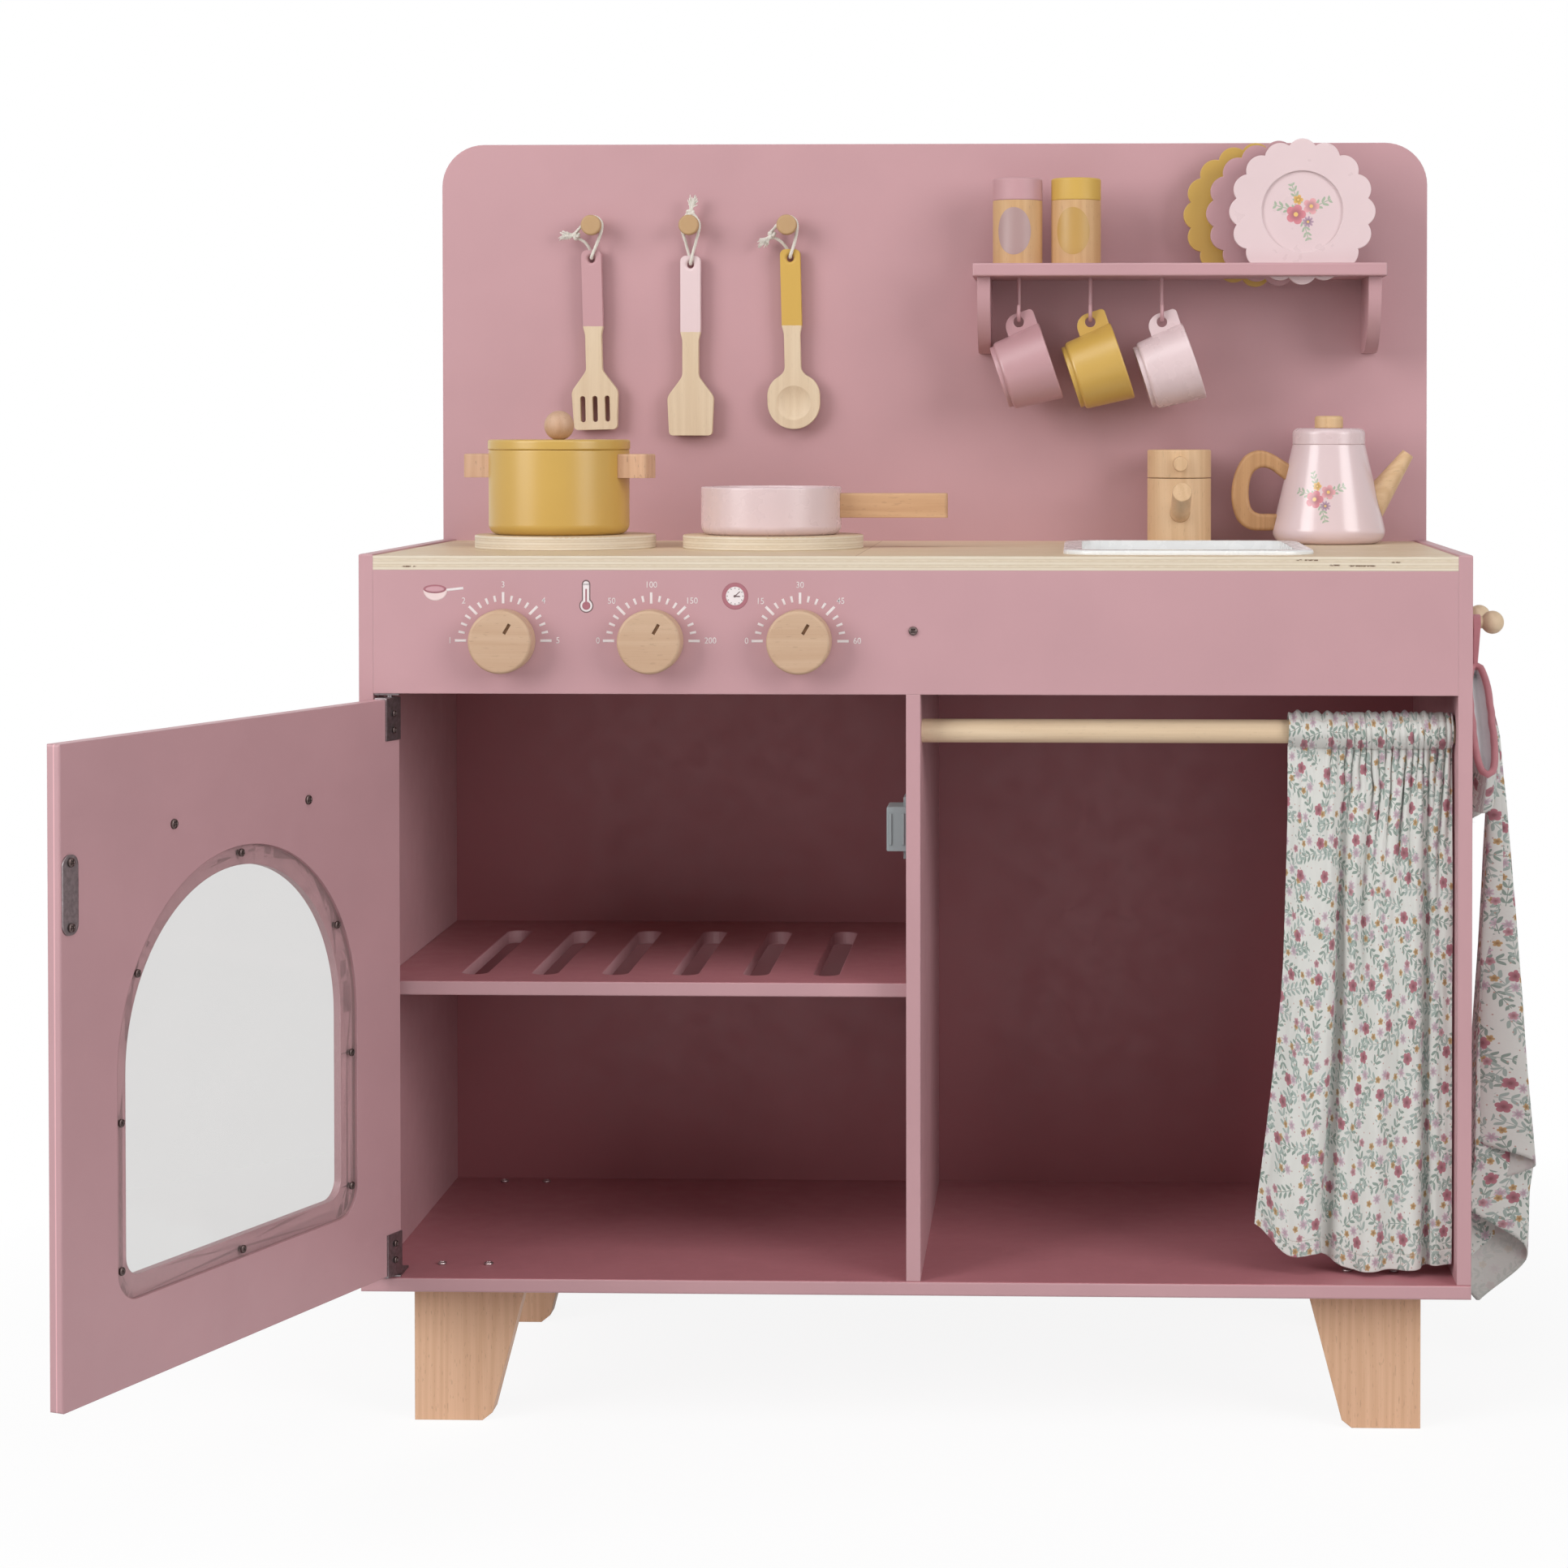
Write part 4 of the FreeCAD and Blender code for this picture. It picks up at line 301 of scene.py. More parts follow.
def plywood(name, seam=None, flaws=()):
    """Birch ply: a face veneer along X, and on the edges its layers with their glue lines."""
    look = Look(name, Specular_IOR_Level=0.4)
    face, fibre = grain_of(look, tint(222, 203, 174), tint(205, 180, 148), 0, 11.0, 0.2)
    x, _, z = look.parts(look.place)
    if seam is not None:
        face = look.mix(look.span(x, seam - 0.2, seam + 0.2, 0.0, 0.22), face, tint(228, 208, 180))
        face = look.mix(look.below(abs(x - seam), 0.35, 0.2) * 0.55, face, tint(150, 112, 78))
    ply = BOARD / PLIES
    level = (z - DECK) % BOARD
    glue = 1.0 - look.below(abs(level % ply - ply / 2), ply / 2 - 0.22, 0.12)
    long_ply = look.mix(look.cloud(0.6, 3, place=look.stretched(0.03, 0.03, 1.0)),
                        tint(222, 211, 193), tint(214, 200, 179))
    end_ply = look.mix(look.cloud(0.7, 2, place=look.stretched(0.2, 0.2, 1.0)),
                       tint(216, 202, 181), tint(207, 191, 167))
    side = look.mix(look.math("FLOOR", level / ply) % 2.0, long_ply, end_ply)
    side = look.mix(glue * 0.32, side, tint(172, 148, 120))
    grit = look.span(look.noise(1.6), 0.40, 0.52)
    for middle, half, height in flaws:
        near = look.below(abs(x - middle), half, 1.2) * look.below(abs(level - height), 0.45, 0.3)
        side = look.mix(near * grit, side, tint(96, 66, 46))
    upright = abs(look.parts(look.own())[2])
    colour = look.mix(look.span(upright, 0.55, 0.75), side, face)
    return look.done(colour, look.cloud(12, 2, 0.42, 0.55), look.bump(fibre, 0.04, look.soft_edge(WOOD_EDGE)))


def moulded(name, colour, rough, grit, **constants):
    """Injection-moulded plastic with a fine surface and slow waves."""
    look = Look(name, **constants)
    body = look.mix(look.noise(30), colour, dimmed(colour, 0.95))
    return look.done(body, look.cloud(6, 3, rough, rough + 0.08),
                     look.bump(look.noise(0.8), grit, look.soft_edge(0.6)))


def plated(name, colour, rough):
    """Zinc-plated steel: cloudy crystals and fine rubbed lines."""
    look = Look(name, Metallic=1.0)
    body = look.mix(look.span(look.noise(2.4, 3), 0.35, 0.7), colour, dimmed(colour, 0.7))
    rubbed = look.noise(0.35, 2, look.stretched(0.1, 1.0, 1.0))
    return look.done(body, look.span(rubbed, 0.3, 0.7, rough, rough + 0.16),
                     look.bump(rubbed, 0.02, look.soft_edge(0.4)))


def window_sheet():
    """Clear flexible sheet, thin enough to let light through, with slow waves."""
    look = Look("clear_sheet", Alpha=0.2, Specular_IOR_Level=0.6)
    waves = look.noise(45)
    # The sheet's grey is partly its own haze and dirt, and partly painted reflection and painted shade of
    # what is seen through it.
    colour = look.mix(waves, tint(154, 150, 145), tint(140, 136, 131))
    return look.done(colour, look.span(waves, 0.3, 0.7, 0.05, 0.11), look.bump(waves, 0.25))


# Printed cotton

SCATTER = 0.62
THREAD = 0.62
STITCH, STITCH_STEP = 1.8, 2.6


def scatter(look, place, pitch, shift):
    """Turned offset from the nearest of many scattered points, and a random pick for each."""
    cell = look.scaled(look.vector("ADD", place, shift + (0.0,)), 1 / pitch)
    points = look.new("TexVoronoi", voronoi_dimensions="2D", feature="F1")
    look.feed(points, {"Vector": cell, "Scale": 1.0, "Randomness": SCATTER})
    offset = look.scaled(look.vector("SUBTRACT", cell, points.outputs["Position"]), pitch)
    pick = look.parts(points.outputs["Color"])
    x, y, _ = look.turned(offset, pick[0] * TAU)
    return x, y, pick[1]


def flower(look, body, x, y, radius, petals, colour, heart, cleft=0.45):
    """A flower of rounded petals over the body colour, darker to the heart."""
    far = look.math("SQRT", x * x + y * y)
    wave = abs(look.math("COSINE", look.math("ARCTAN2", y, x) * (petals / 2)))
    edge = look.math("POWER", wave, 0.6) * (radius * cleft) + radius * (1 - cleft)
    petal = look.mix(look.span(far, radius * 0.25, radius * 0.8), dimmed(colour, 0.62), colour)
    body = look.mix(look.below(far - edge, 0.0, 0.22), body, petal)
    return look.mix(look.below(far, radius * 0.22, 0.2), body, heart)


def sprig(look, body, x, y, reach, colour):
    """A straight stem with pairs of narrow leaves that point forward."""
    side = abs(y)
    pitch = reach * 0.52
    middle = abs((side * -0.9 + x) % pitch - pitch / 2)
    wide = look.math("SINE", side * (pi / (reach * 0.42))) * (reach * 0.155)
    leaf = look.below(middle - wide, 0.0, 0.12) * look.below(side, reach * 0.40, 0.15)
    shown = look.math("MAXIMUM", leaf, look.below(side, 0.24, 0.1))
    return look.mix(shown * look.below(abs(x), reach, 0.2), body, colour)


def speck(look, body, x, y, radius, colour):
    return look.mix(look.below(look.math("SQRT", x * x + y * y), radius, 0.15), body, colour)


# Motif, pitch and shift of its scatter, and its form; the large and the small rose share one scatter
PRINT_MOTIFS = ((sprig, 20.5, (3.0, 8.0), 10.0, tint(132, 148, 139)),
                (sprig, 23.0, (11.0, 2.0), 10.5, tint(156, 169, 163)),
                (speck, 8.5, (5.0, 1.5), 0.5, tint(184, 150, 140)),
                (flower, 20.0, (1.0, 15.0), 3.5, 7, tint(202, 180, 190), tint(182, 146, 160), 0.74),
                (flower, 20.0, (7.5, 12.0), 2.4, 5, tint(188, 152, 104), tint(150, 108, 66)))
ROSE_FORMS = ((4.2, 5, tint(172, 106, 118), tint(128, 70, 80), 0.34),
              (2.8, 5, tint(188, 138, 147), tint(150, 94, 102), 0.40))


def ditsy(look, place, ground):
    """Small scattered flowers and sprigs on a plain ground; place is on the cloth, in millimetres."""
    body = ground
    for motif, pitch, shift, *form in PRINT_MOTIFS:
        x, y, _ = scatter(look, place, pitch, shift)
        body = motif(look, body, x, y, *form)
    x, y, pick = scatter(look, place, 22.5, (14.0, 6.0))
    large, small = (flower(look, body, x, y, *form) for form in ROSE_FORMS)
    return look.mix(look.math("GREATER_THAN", pick, 0.55), large, small)


def cotton(name, ground, printed=1.0, stitch_at=()):
    """Woven cotton, printed where asked, with rows of stitches across its length (UV in metres)."""
    look = Look(name, Specular_IOR_Level=0.25, Sheen_Weight=0.25, Sheen_Roughness=0.5)
    place = look.scaled(look.new("UVMap").outputs[0], 1000)
    x, y, _ = look.parts(place)
    warp, weft = (look.math("SINE", way * (TAU / THREAD)) for way in (x, y))
    weave = look.span(warp * weft, -1, 1)
    cloud = look.noise(24, 3, place)
    shade = dimmed(ground, 0.93)
    colour = look.mix(cloud, ground, shade)
    if printed:
        colour = look.mix(printed, colour, ditsy(look, place, colour))
    colour = look.mix(weave * 0.10, colour, shade)
    height = weave * 0.35 + look.noise(3.0, 3, place)
    for row in stitch_at:
        line = look.below(abs(y - row), 0.45, 0.15)
        sewn = line * look.below(x % STITCH_STEP, STITCH, 0.2)
        colour = look.mix(sewn * 0.6, colour, tint(206, 196, 188))
        height = height - line * 1.2
    return look.done(colour, look.span(cloud, 0.3, 0.7, 0.82, 0.92), look.bump(height, 0.16))


def tape(name, colour, rib=0.8):
    """Twill tape: fine slanting ribs."""
    look = Look(name, Specular_IOR_Level=0.25, Sheen_Weight=0.3, Sheen_Roughness=0.5)
    ribs = look.wave(look.vector("DOT_PRODUCT", look.place, (0.7, 0.7, 1.0)), rib)
    cloud = look.noise(7, 3)
    body = look.mix(ribs * 0.35 + cloud * 0.5, colour, dimmed(colour, 0.72))
    return look.done(body, look.span(cloud, 0.3, 0.7, 0.8, 0.92), look.bump(ribs + cloud, 0.12))


# Meshes

def linked(name, data):
    made = bpy.data.objects.new(name, data)
    bpy.context.scene.collection.objects.link(made)
    return made


def add_piece(name, verts, faces, body, slot, *looks, uv=None, smooth=True, marks=None):
    """A mesh piece from millimetres; uv is one pair a vertex, marks one material index a face."""
    mesh = bpy.data.meshes.new(name)
    mesh.from_pydata([Vector(v) * MM for v in verts], [], faces)
    mesh.update()
    mesh.polygons.foreach_set("use_smooth", [smooth] * len(mesh.polygons))
    if marks:
        mesh.polygons.foreach_set("material_index", marks)
    if uv:
        layer = mesh.uv_layers.new(name="UVMap")
        for loop in mesh.loops:
            layer.data[loop.index].uv = uv[loop.vertex_index]
    made = linked(name, mesh)
    for look in looks:
        mesh.materials.append(look)
    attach(made, body)
    return made


def thicken(piece, thick, **settings):
    put(piece.modifiers.new("thickness", "SOLIDIFY"), thickness=thick * MM, **settings)


def soften(piece, levels):
    put(piece.modifiers.new("soft", "SUBSURF"), levels=levels, render_levels=levels)


def mesh_of(data):
    """Vertices in millimetres and faces of a curve or a text, which goes."""
    holder = bpy.data.objects.new("holder", data)
    mesh = bpy.data.meshes.new_from_object(holder)
    verts = [v.co / MM for v in mesh.vertices]
    faces = [tuple(p.vertices) for p in mesh.polygons]
    bpy.data.objects.remove(holder)
    bpy.data.curves.remove(data)
    bpy.data.meshes.remove(mesh)
    return verts, faces


def grid_faces(columns, rows, around=False):
    """Quads of a grid whose vertices run row by row; around joins the last column to the first."""
    span = columns if around else columns - 1
    return [(row * columns + column, row * columns + (column + 1) % columns,
             (row + 1) * columns + (column + 1) % columns, (row + 1) * columns + column)
            for row in range(rows - 1) for column in range(span)]


def flipped(faces):
    return [tuple(reversed(face)) for face in faces]


def frames_along(points, closed=False):
    """Point, two side directions and length so far, carried along a line without twist."""
    points = [Vector(p) for p in points]
    count = len(points)
    found = []
    side = None
    run = 0.0
    for i, point in enumerate(points):
        before = points[i - 1] if i or closed else point
        after = points[(i + 1) % count] if i < count - 1 or closed else point
        ahead = (after - before).normalized()
        if side is None:
            side = ahead.orthogonal().normalized()
        side = (side - ahead * side.dot(ahead)).normalized()
        if i:
            run += (point - points[i - 1]).length
        found.append((point, side.copy(), ahead.cross(side), run))
    return found


def tube(points, radius, sides=8, closed=False):
    """Vertices and faces of a tube; radius is a number or a function of the share of length."""
    line = frames_along(points, closed)
    total = line[-1][3] or 1.0
    verts = []
    for point, side, up, run in line:
        size = radius(run / total) if callable(radius) else radius
        for k in range(sides):
            angle = TAU * k / sides
            verts.append(point + (side * cos(angle) + up * sin(angle)) * size)
    faces = grid_faces(sides, len(line), around=True)
    last = len(verts) - sides
    if closed:
        faces += [(last + k, last + (k + 1) % sides, (k + 1) % sides, k) for k in range(sides)]
    else:
        faces += [tuple(reversed(range(sides))), tuple(range(last, len(verts)))]
    return verts, faces


class Heap:
    """Several shapes gathered for one mesh."""

    def __init__(self):
        self.verts, self.faces = [], []

    def add(self, shape):
        verts, faces = shape
        start = len(self.verts)
        self.verts += [Vector(v) for v in verts]
        self.faces += [tuple(start + i for i in face) for face in faces]

    def piece(self, name, body, slot, *looks, **more):
        return add_piece(name, self.verts, self.faces, body, slot, *looks, **more)


def between(value, table):
    """Straight-line reading of a table of pairs in rising order."""
    if value <= table[0][0]:
        return table[0][1]
    for (a, first), (b, second) in zip(table, table[1:]):
        if value <= b:
            return first + (second - first) * (value - a) / (b - a)
    return table[-1][1]


def eased(value, table):
    """As between, with soft corners from five readings."""
    reach = (table[-1][0] - table[0][0]) * 0.04
    return sum(between(value + shift * reach, table) for shift in (-1, -0.5, 0, 0.5, 1)) / 5


def cloth_noise(x, y, layer):
    return noise.noise(Vector((x, y, layer)))


# Camera, light and floor, in metres

CAMERA_PLACE = (0.10406, -2.19376, 0.63644)
CAMERA_DOWN, CAMERA_LEFT = 1.028, 1.678
WORLD_LIGHT = 0.05
FLOOR_CORNERS = [(-9, -6, 0), (9, -6, 0), (9, 12, 0), (-9, 12, 0)]
FLOOR_GREY = 0.78
# Distances in millimetres over which the floor fades, and how much it glows there
FLOOR_FADE = (400, 850, 0.9, 1.0)
LAMPS = (("key_left", (-2.3, -1.9, 1.6), (0.0, 0.0, 0.45), (1.6, 2.0), 64),
         ("fill_right", (2.45, -2.05, 1.5), (0.0, 0.0, 0.4), (1.6, 1.8), 53),
         ("top", (0.0, -1.4, 2.6), (0.0, 0.0, 0.5), (2.4, 1.2), 22))


def set_camera():
    data = put(bpy.data.cameras.new("camera"), lens=75.19, sensor_width=36.0,
               shift_x=-0.1270, shift_y=-0.1906)
    turn = (radians(90 - CAMERA_DOWN), 0.0, radians(CAMERA_LEFT))
    bpy.context.scene.camera = put(linked("camera", data), location=CAMERA_PLACE, rotation_euler=turn)


def set_lamps():
    for name, place, aim, (wide, high), power in LAMPS:
        data = put(bpy.data.lights.new(name, "AREA"), shape="RECTANGLE", size=wide, size_y=high, energy=power)
        turn = (Vector(aim) - Vector(place)).to_track_quat("-Z", "Y").to_euler()
        put(linked(name, data), location=place, rotation_euler=turn)


def set_world():
    world = bpy.data.worlds.new("studio")
    bpy.context.scene.world = world
    wires = Wires(world)
    wires.feed(wires.tree.nodes["Background"],
               {"Color": WHITE, "Strength": wires.span(wires.seen(), 0, 1, WORLD_LIGHT, 1.0)})


def set_floor():
    """Pale floor that fades to white; the object's shadow still shows close to it."""
    mesh = bpy.data.meshes.new("floor")
    mesh.from_pydata(FLOOR_CORNERS, [], [(0, 1, 2, 3)])
    look = Look("floor_white", Specular_IOR_Level=0.1)
    mesh.materials.append(look.done(look.span(look.seen(), 0, 1, FLOOR_GREY, 1.0), 0.9))
    share = look.span(look.vector("LENGTH", look.place), *FLOOR_FADE) * look.seen()
    glow = look.feed(look.new("Emission"), {"Strength": 1.0})
    blend = look.feed(look.new("MixShader"), {0: share, 1: look.shader.outputs[0], 2: glow.outputs[0]})
    look.feed(look.tree.nodes["Material Output"], {"Surface": blend.outputs[0]})
    linked("floor", mesh)


bpy.context.scene.view_settings.view_transform = "Standard"
set_camera()
set_world()
set_floor()
set_lamps()


# Finishes of the solids

DOOR_PIVOT = Vector((-331.5, -138.0, 0.0))
DOOR_TURN = Matrix.Rotation(radians(-111.5), 3, "Z")
INWARD = DOOR_TURN @ Vector((0, 1, 0))
REBATE_FLOOR = 0.5
UTENSIL_GRIP = 54.0
SHAKER_WOOD = 44.7
SIDE_PEGS_FROM = 340.0
SEAM_X = -36.0
# Place along the worktop's front, half length and height of the small flaws in its edge
EDGE_FLAWS = ((247.0, 7.0, 6.8), (264.0, 3.0, 3.6), (281.0, 8.0, 3.2), (302.0, 2.5, 5.4), (-318.0, 4.0, 2.2))

BEECH = (tint(221, 181, 150), tint(204, 162, 130))
BIRCH = (tint(226, 203, 173), tint(212, 186, 154))
MAPLE = (tint(218, 185, 147), tint(202, 166, 128))
UTENSIL = (tint(220, 200, 173), tint(209, 186, 157), 2, 9.0, 0.1)
SHAKER = (tint(206, 168, 124), tint(192, 151, 107), 2, 8.0, 0.2)
COTTON = tint(216, 216, 211)

knob_wood = wooden("knob_beech", tint(200, 170, 143), tint(187, 154, 126), 0, 9.0, 0.25)
burnt = wooden("pointer_groove", tint(138, 100, 68), tint(112, 78, 50), 0, 3.0, 0.0)
grip_wood = wooden("teapot_grip_wood", tint(192, 149, 106), tint(170, 127, 87), 2, 7.0, 0.3)
dark_steel = plated("screw_steel", tint(104, 90, 88), 0.30)
bright_steel = plated("bright_steel", tint(196, 178, 178), 0.32)
print_cloth = cotton("print_cotton", COTTON)
hem_cloth = cotton("curtain_cotton", COTTON, 1.0, (30.5, 48.5, 368.0))
back_cloth = cotton("cotton_reverse", tint(205, 203, 199), 0.22)
lining_cloth = cotton("lining_cotton", tint(222, 221, 223), 0.0)
rose_tape = tape("rose_tape", tint(206, 138, 146))
cord_look = tape("cotton_cord", tint(246, 240, 230), 0.7)


def lit_rebate_floor(look, body):
    """Painted light: the rebate's floor is painted paler, for the clear sheet over it takes light twice."""
    x, y, _ = look.parts(look.place)
    deep = (x - DOOR_PIVOT.x) * INWARD.x + (y - DOOR_PIVOT.y) * INWARD.y
    return look.mix(look.below(abs(deep - REBATE_FLOOR), 0.4, 0.1), body, tint(222, 172, 178))


def shaded_facing(axis, sign, colour):
    """Painted shade: the faces that look one way, into the dim bays, get a deeper colour in place of their
    shade; the others keep the outer colour.
    """
    def cover(look, body):
        return look.mix(look.below(look.parts(look.own())[axis] * -sign, -0.7, 0.1), body, colour)
    return cover


def wall_pegs(look, body):
    """The pegs on the wall are of a browner stick than the two on the side."""
    inner = look.below(look.parts(look.place)[0], SIDE_PEGS_FROM, 0.5)
    return look.mix(inner * 0.9, body, tint(176, 141, 100))


def above(level, paint):
    """Paint over bare wood above a level."""
    def cover(look, body):
        edge = look.noise(3) * 0.5 + look.parts(look.place)[2]
        return look.mix(look.span(edge, level, level + 0.4), body, paint)
    return cover


# Place, turn and reach of the posy's leaves; place, size, petals, colour and cleft of its flowers
POSY_LEAVES = ((-9, 2, 165, 7), (9.5, 4, 25, 7), (2, -10, -75, 6), (-4, 10, 110, 6))
POSY_FLOWERS = ((-3.5, -1.5, 5.6, 5, tint(205, 128, 138), 0.34),
                (5.0, 3.0, 4.6, 5, tint(218, 160, 164), 0.40),
                (3.2, -5.6, 3.2, 9, tint(176, 146, 164), 0.6),
                (-2.2, 6.6, 2.8, 5, tint(217, 172, 98), 0.45))
POSY_LEAF, POSY_HEART = tint(160, 172, 150), tint(226, 186, 116)
TEAPOT_POSY_Z, TEAPOT_POSY_R, TEAPOT_POSY_TURN = 588.0, 33.0, 0.25


def posy(look, body, u, v, scale):
    """A small bunch of flowers and leaves round the middle of a face."""
    def at(du, dv):
        return (u - du * scale) / scale, (v - dv * scale) / scale

    for du, dv, angle, reach in POSY_LEAVES:
        x, y, _ = look.turned(look.join(*at(du, dv)), -radians(angle))
        body = sprig(look, body, x, y, reach, POSY_LEAF)
    for du, dv, radius, petals, colour, cleft in POSY_FLOWERS:
        body = flower(look, body, *at(du, dv), radius, petals, colour, POSY_HEART, cleft)
    return body


def plate_motif(look, body):
    x, _, z = look.parts(look.place)
    return posy(look, body, x - PLATE.x, z - PLATE.z, 1.25)


def teapot_motif(look, body):
    x, y, z = look.parts(look.place)
    angle = look.math("ARCTAN2", x - TEAPOT_X, TEAPOT_Y - y) + TEAPOT_POSY_TURN
    shown = posy(look, body, angle * TEAPOT_POSY_R, z - TEAPOT_POSY_Z, 1.1)
    return look.mix(look.below(abs(angle), 1.0, 0.05), body, shown)


def coat(look, *nodes):
    """Gives solids one finish, in place of the plain one that they came with."""
    for node in nodes:
        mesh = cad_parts[node].data
        mesh.materials.clear()
        mesh.materials.append(look)


# Painted shade: the upward faces of the bays' floor and of the rack are painted a deeper rose.
rose_shaded_inside = painted("rose_shaded_inside", ROSE, cover=shaded_facing(2, 1, tint(172, 110, 117)))
coat(painted("rose_paint", ROSE), "side_panel_left", "side_panel_right", "splashback", "control_panel",
     "divider_panel", "spice_shelf", "shelf_brackets", "cup_hooks")
coat(rose_shaded_inside, "bottom_panel", "oven_rack")
# Painted shade: the back's face towards the bays is painted a deeper rose.
coat(painted("rose_back_shaded", ROSE, cover=shaded_facing(1, -1, tint(166, 101, 107))), "cabinet_back")
coat(painted("door_paint", ROSE, cover=lit_rebate_floor), "door_panel")
coat(painted("rose_turned", ROSE, gloss=LACQUER), "plate_rose", "cup_rose")
coat(painted("mustard_paint", MUSTARD, gloss=LACQUER), "pot_body", "pot_lid", "cup_mustard", "plate_mustard")
coat(painted("blush_paint", BLUSH, gloss=(0.24, 0.32)), "pan_body", "cup_blush", "teapot_lid")
coat(painted("blush_plate_paint", BLUSH, 0.9, plate_motif, (0.26, 0.34)), "plate_blush")
coat(painted("teapot_paint", BLUSH, 0.9, teapot_motif, (0.18, 0.26)), "teapot_body")
coat(plywood("birch_ply", SEAM_X, EDGE_FLAWS), "worktop")
coat(plywood("disc_ply"), "hob_discs")
coat(wooden("beech_upright", *BEECH, 2), "legs")
coat(wooden("beech_across", *BEECH, 0), "door_handle")
coat(wooden("maple_upright", *MAPLE, 2, 8.0, 0.25), "faucet_body", "faucet_cap")
coat(wooden("maple_deep", *MAPLE, 1, 8.0, 0.2), "faucet_spout")
coat(wooden("lid_knob_wood", tint(204, 170, 144), tint(189, 152, 125), 2, 9.0, 0.3), "pot_lid_knob")
coat(wooden("lid_stub_wood", tint(214, 182, 140), tint(200, 164, 121), 2, 8.0, 0.2), "teapot_lid_knob")
coat(wooden("pot_grip_wood", tint(214, 175, 144), tint(196, 154, 123), 2, 7.0, 0.55), "pot_handles")
coat(wooden("pan_grip_wood", tint(208, 168, 131), tint(190, 148, 111), 0, 8.0, 0.25), "pan_handle")
coat(wooden("spout_wood", tint(216, 184, 146), tint(199, 163, 123), 0, 6.0, 0.3), "teapot_spout")
coat(wooden("rod_birch", *BIRCH, 0, 5.0, 0.15), "curtain_rod")
coat(wooden("peg_birch", *BIRCH, 1, 7.0, 0.15, wall_pegs), "hanging_pegs")
coat(grip_wood, "teapot_handle")
coat(moulded("sink_plastic", tint(232, 233, 233), 0.22, 0.003, Coat_Weight=0.15), "sink_basin")
coat(moulded("catch_plastic", tint(144, 151, 153), 0.45, 0.03), "magnet_catch")
coat(plated("zinc", tint(150, 140, 142), 0.34), "hinge_fixed_leaves", "hinge_door_leaves", "strike_plate")
coat(dark_steel, "cabinet_screws", "door_screws")
coat(window_sheet(), "door_window")
coat(print_cloth, "curtain", "oven_mitt", "tea_towel")
coat(cord_look, "cord_slotted_turner", "cord_flat_turner", "cord_stirring_spoon")
for node, hang, paint in (("slotted_turner", 17.2, ROSE), ("flat_turner", 21.3, BLUSH),
                          ("stirring_spoon", 16.7, MUSTARD)):
    coat(wooden(node + "_wood", *UTENSIL, above(PEG_Z - hang - UTENSIL_GRIP, paint)), node)
for node, paint in (("salt_shaker", ROSE), ("pepper_shaker", MUSTARD)):
    coat(wooden(node + "_wood", *SHAKER, above(SHELF_TOP + SHAKER_WOOD, paint)), node)

for node in ("knob_heat", "knob_temperature", "knob_timer"):
    coat(knob_wood, node)
    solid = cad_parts[node].data
    solid.materials.append(burnt)
    low, middle = box_of(node)[0], middle_of(node)
    for face in solid.polygons:
        at = face.center / MM
        sunk = low.y + 0.05 < at.y < low.y + KNOB_CUT_DEPTH
        if sunk and hypot(at.x - middle.x, at.z - middle.z) < KNOB_CUT_REACH:
            face.material_index = 1


# Pieces cut from board, with rounded edges

RACK_SLOTS = 6
RACK_SLOT = 16.5
RACK_PITCH = 45.6
RACK_SLOT_YS = (-96.5, 87.5)
RACK_ROUND = 0.8
# The grip's outlines: distance from the teapot's axis and height over the worktop
GRIP_OUTER = ((26.5, 54.3), (31.0, 57.3), (41.0, 63.1), (50.0, 64.7), (58.6, 60.4), (64.6, 50.2),
              (67.4, 37.8), (66.8, 26.0), (62.8, 15.4), (55.0, 9.8), (46.0, 9.0), (36.8, 9.2))
GRIP_INNER = ((34.2, 20.4), (41.0, 20.6), (48.5, 20.9), (53.6, 24.2), (55.6, 31.5), (55.4, 40.5),
              (53.0, 48.6), (47.6, 52.6), (41.0, 51.8), (34.0, 46.8), (28.6, 42.8))
GRIP_THICK = 12.0
GRIP_ROUND = 2.2


def cut_board(outlines, thick, round_over):
    """Closed flat outlines, holes among them, as a board about the zero level."""
    data = put(bpy.data.curves.new("board", "CURVE"), dimensions="2D", fill_mode="BOTH",
               extrude=(thick / 2 - round_over) * MM, bevel_depth=round_over * MM, bevel_resolution=2,
               offset=-round_over * MM)
    for outline in outlines:
        line = data.splines.new("POLY")
        line.points.add(len(outline) - 1)
        for point, (u, v) in zip(line.points, outline):
            point.co = (u * MM, v * MM, 0.0, 1.0)
        line.use_cyclic_u = True
    return mesh_of(data)


def smooth_line(points, steps=8):
    """Points on a smooth line through the given ones."""
    points = [Vector(p) for p in points]
    ends = [points[0] * 2 - points[1]] + points + [points[-1] * 2 - points[-2]]
    found = []
    for a, b, c, d in zip(ends, ends[1:], ends[2:], ends[3:]):
        for k in range(steps):
            t = k / steps
            found.append(((b * 2) + (c - a) * t + (a * 2 - b * 5 + c * 4 - d) * t * t
                          + (b * 3 - a - c * 3 + d) * t ** 3) / 2)
    return found + [points[-1]]


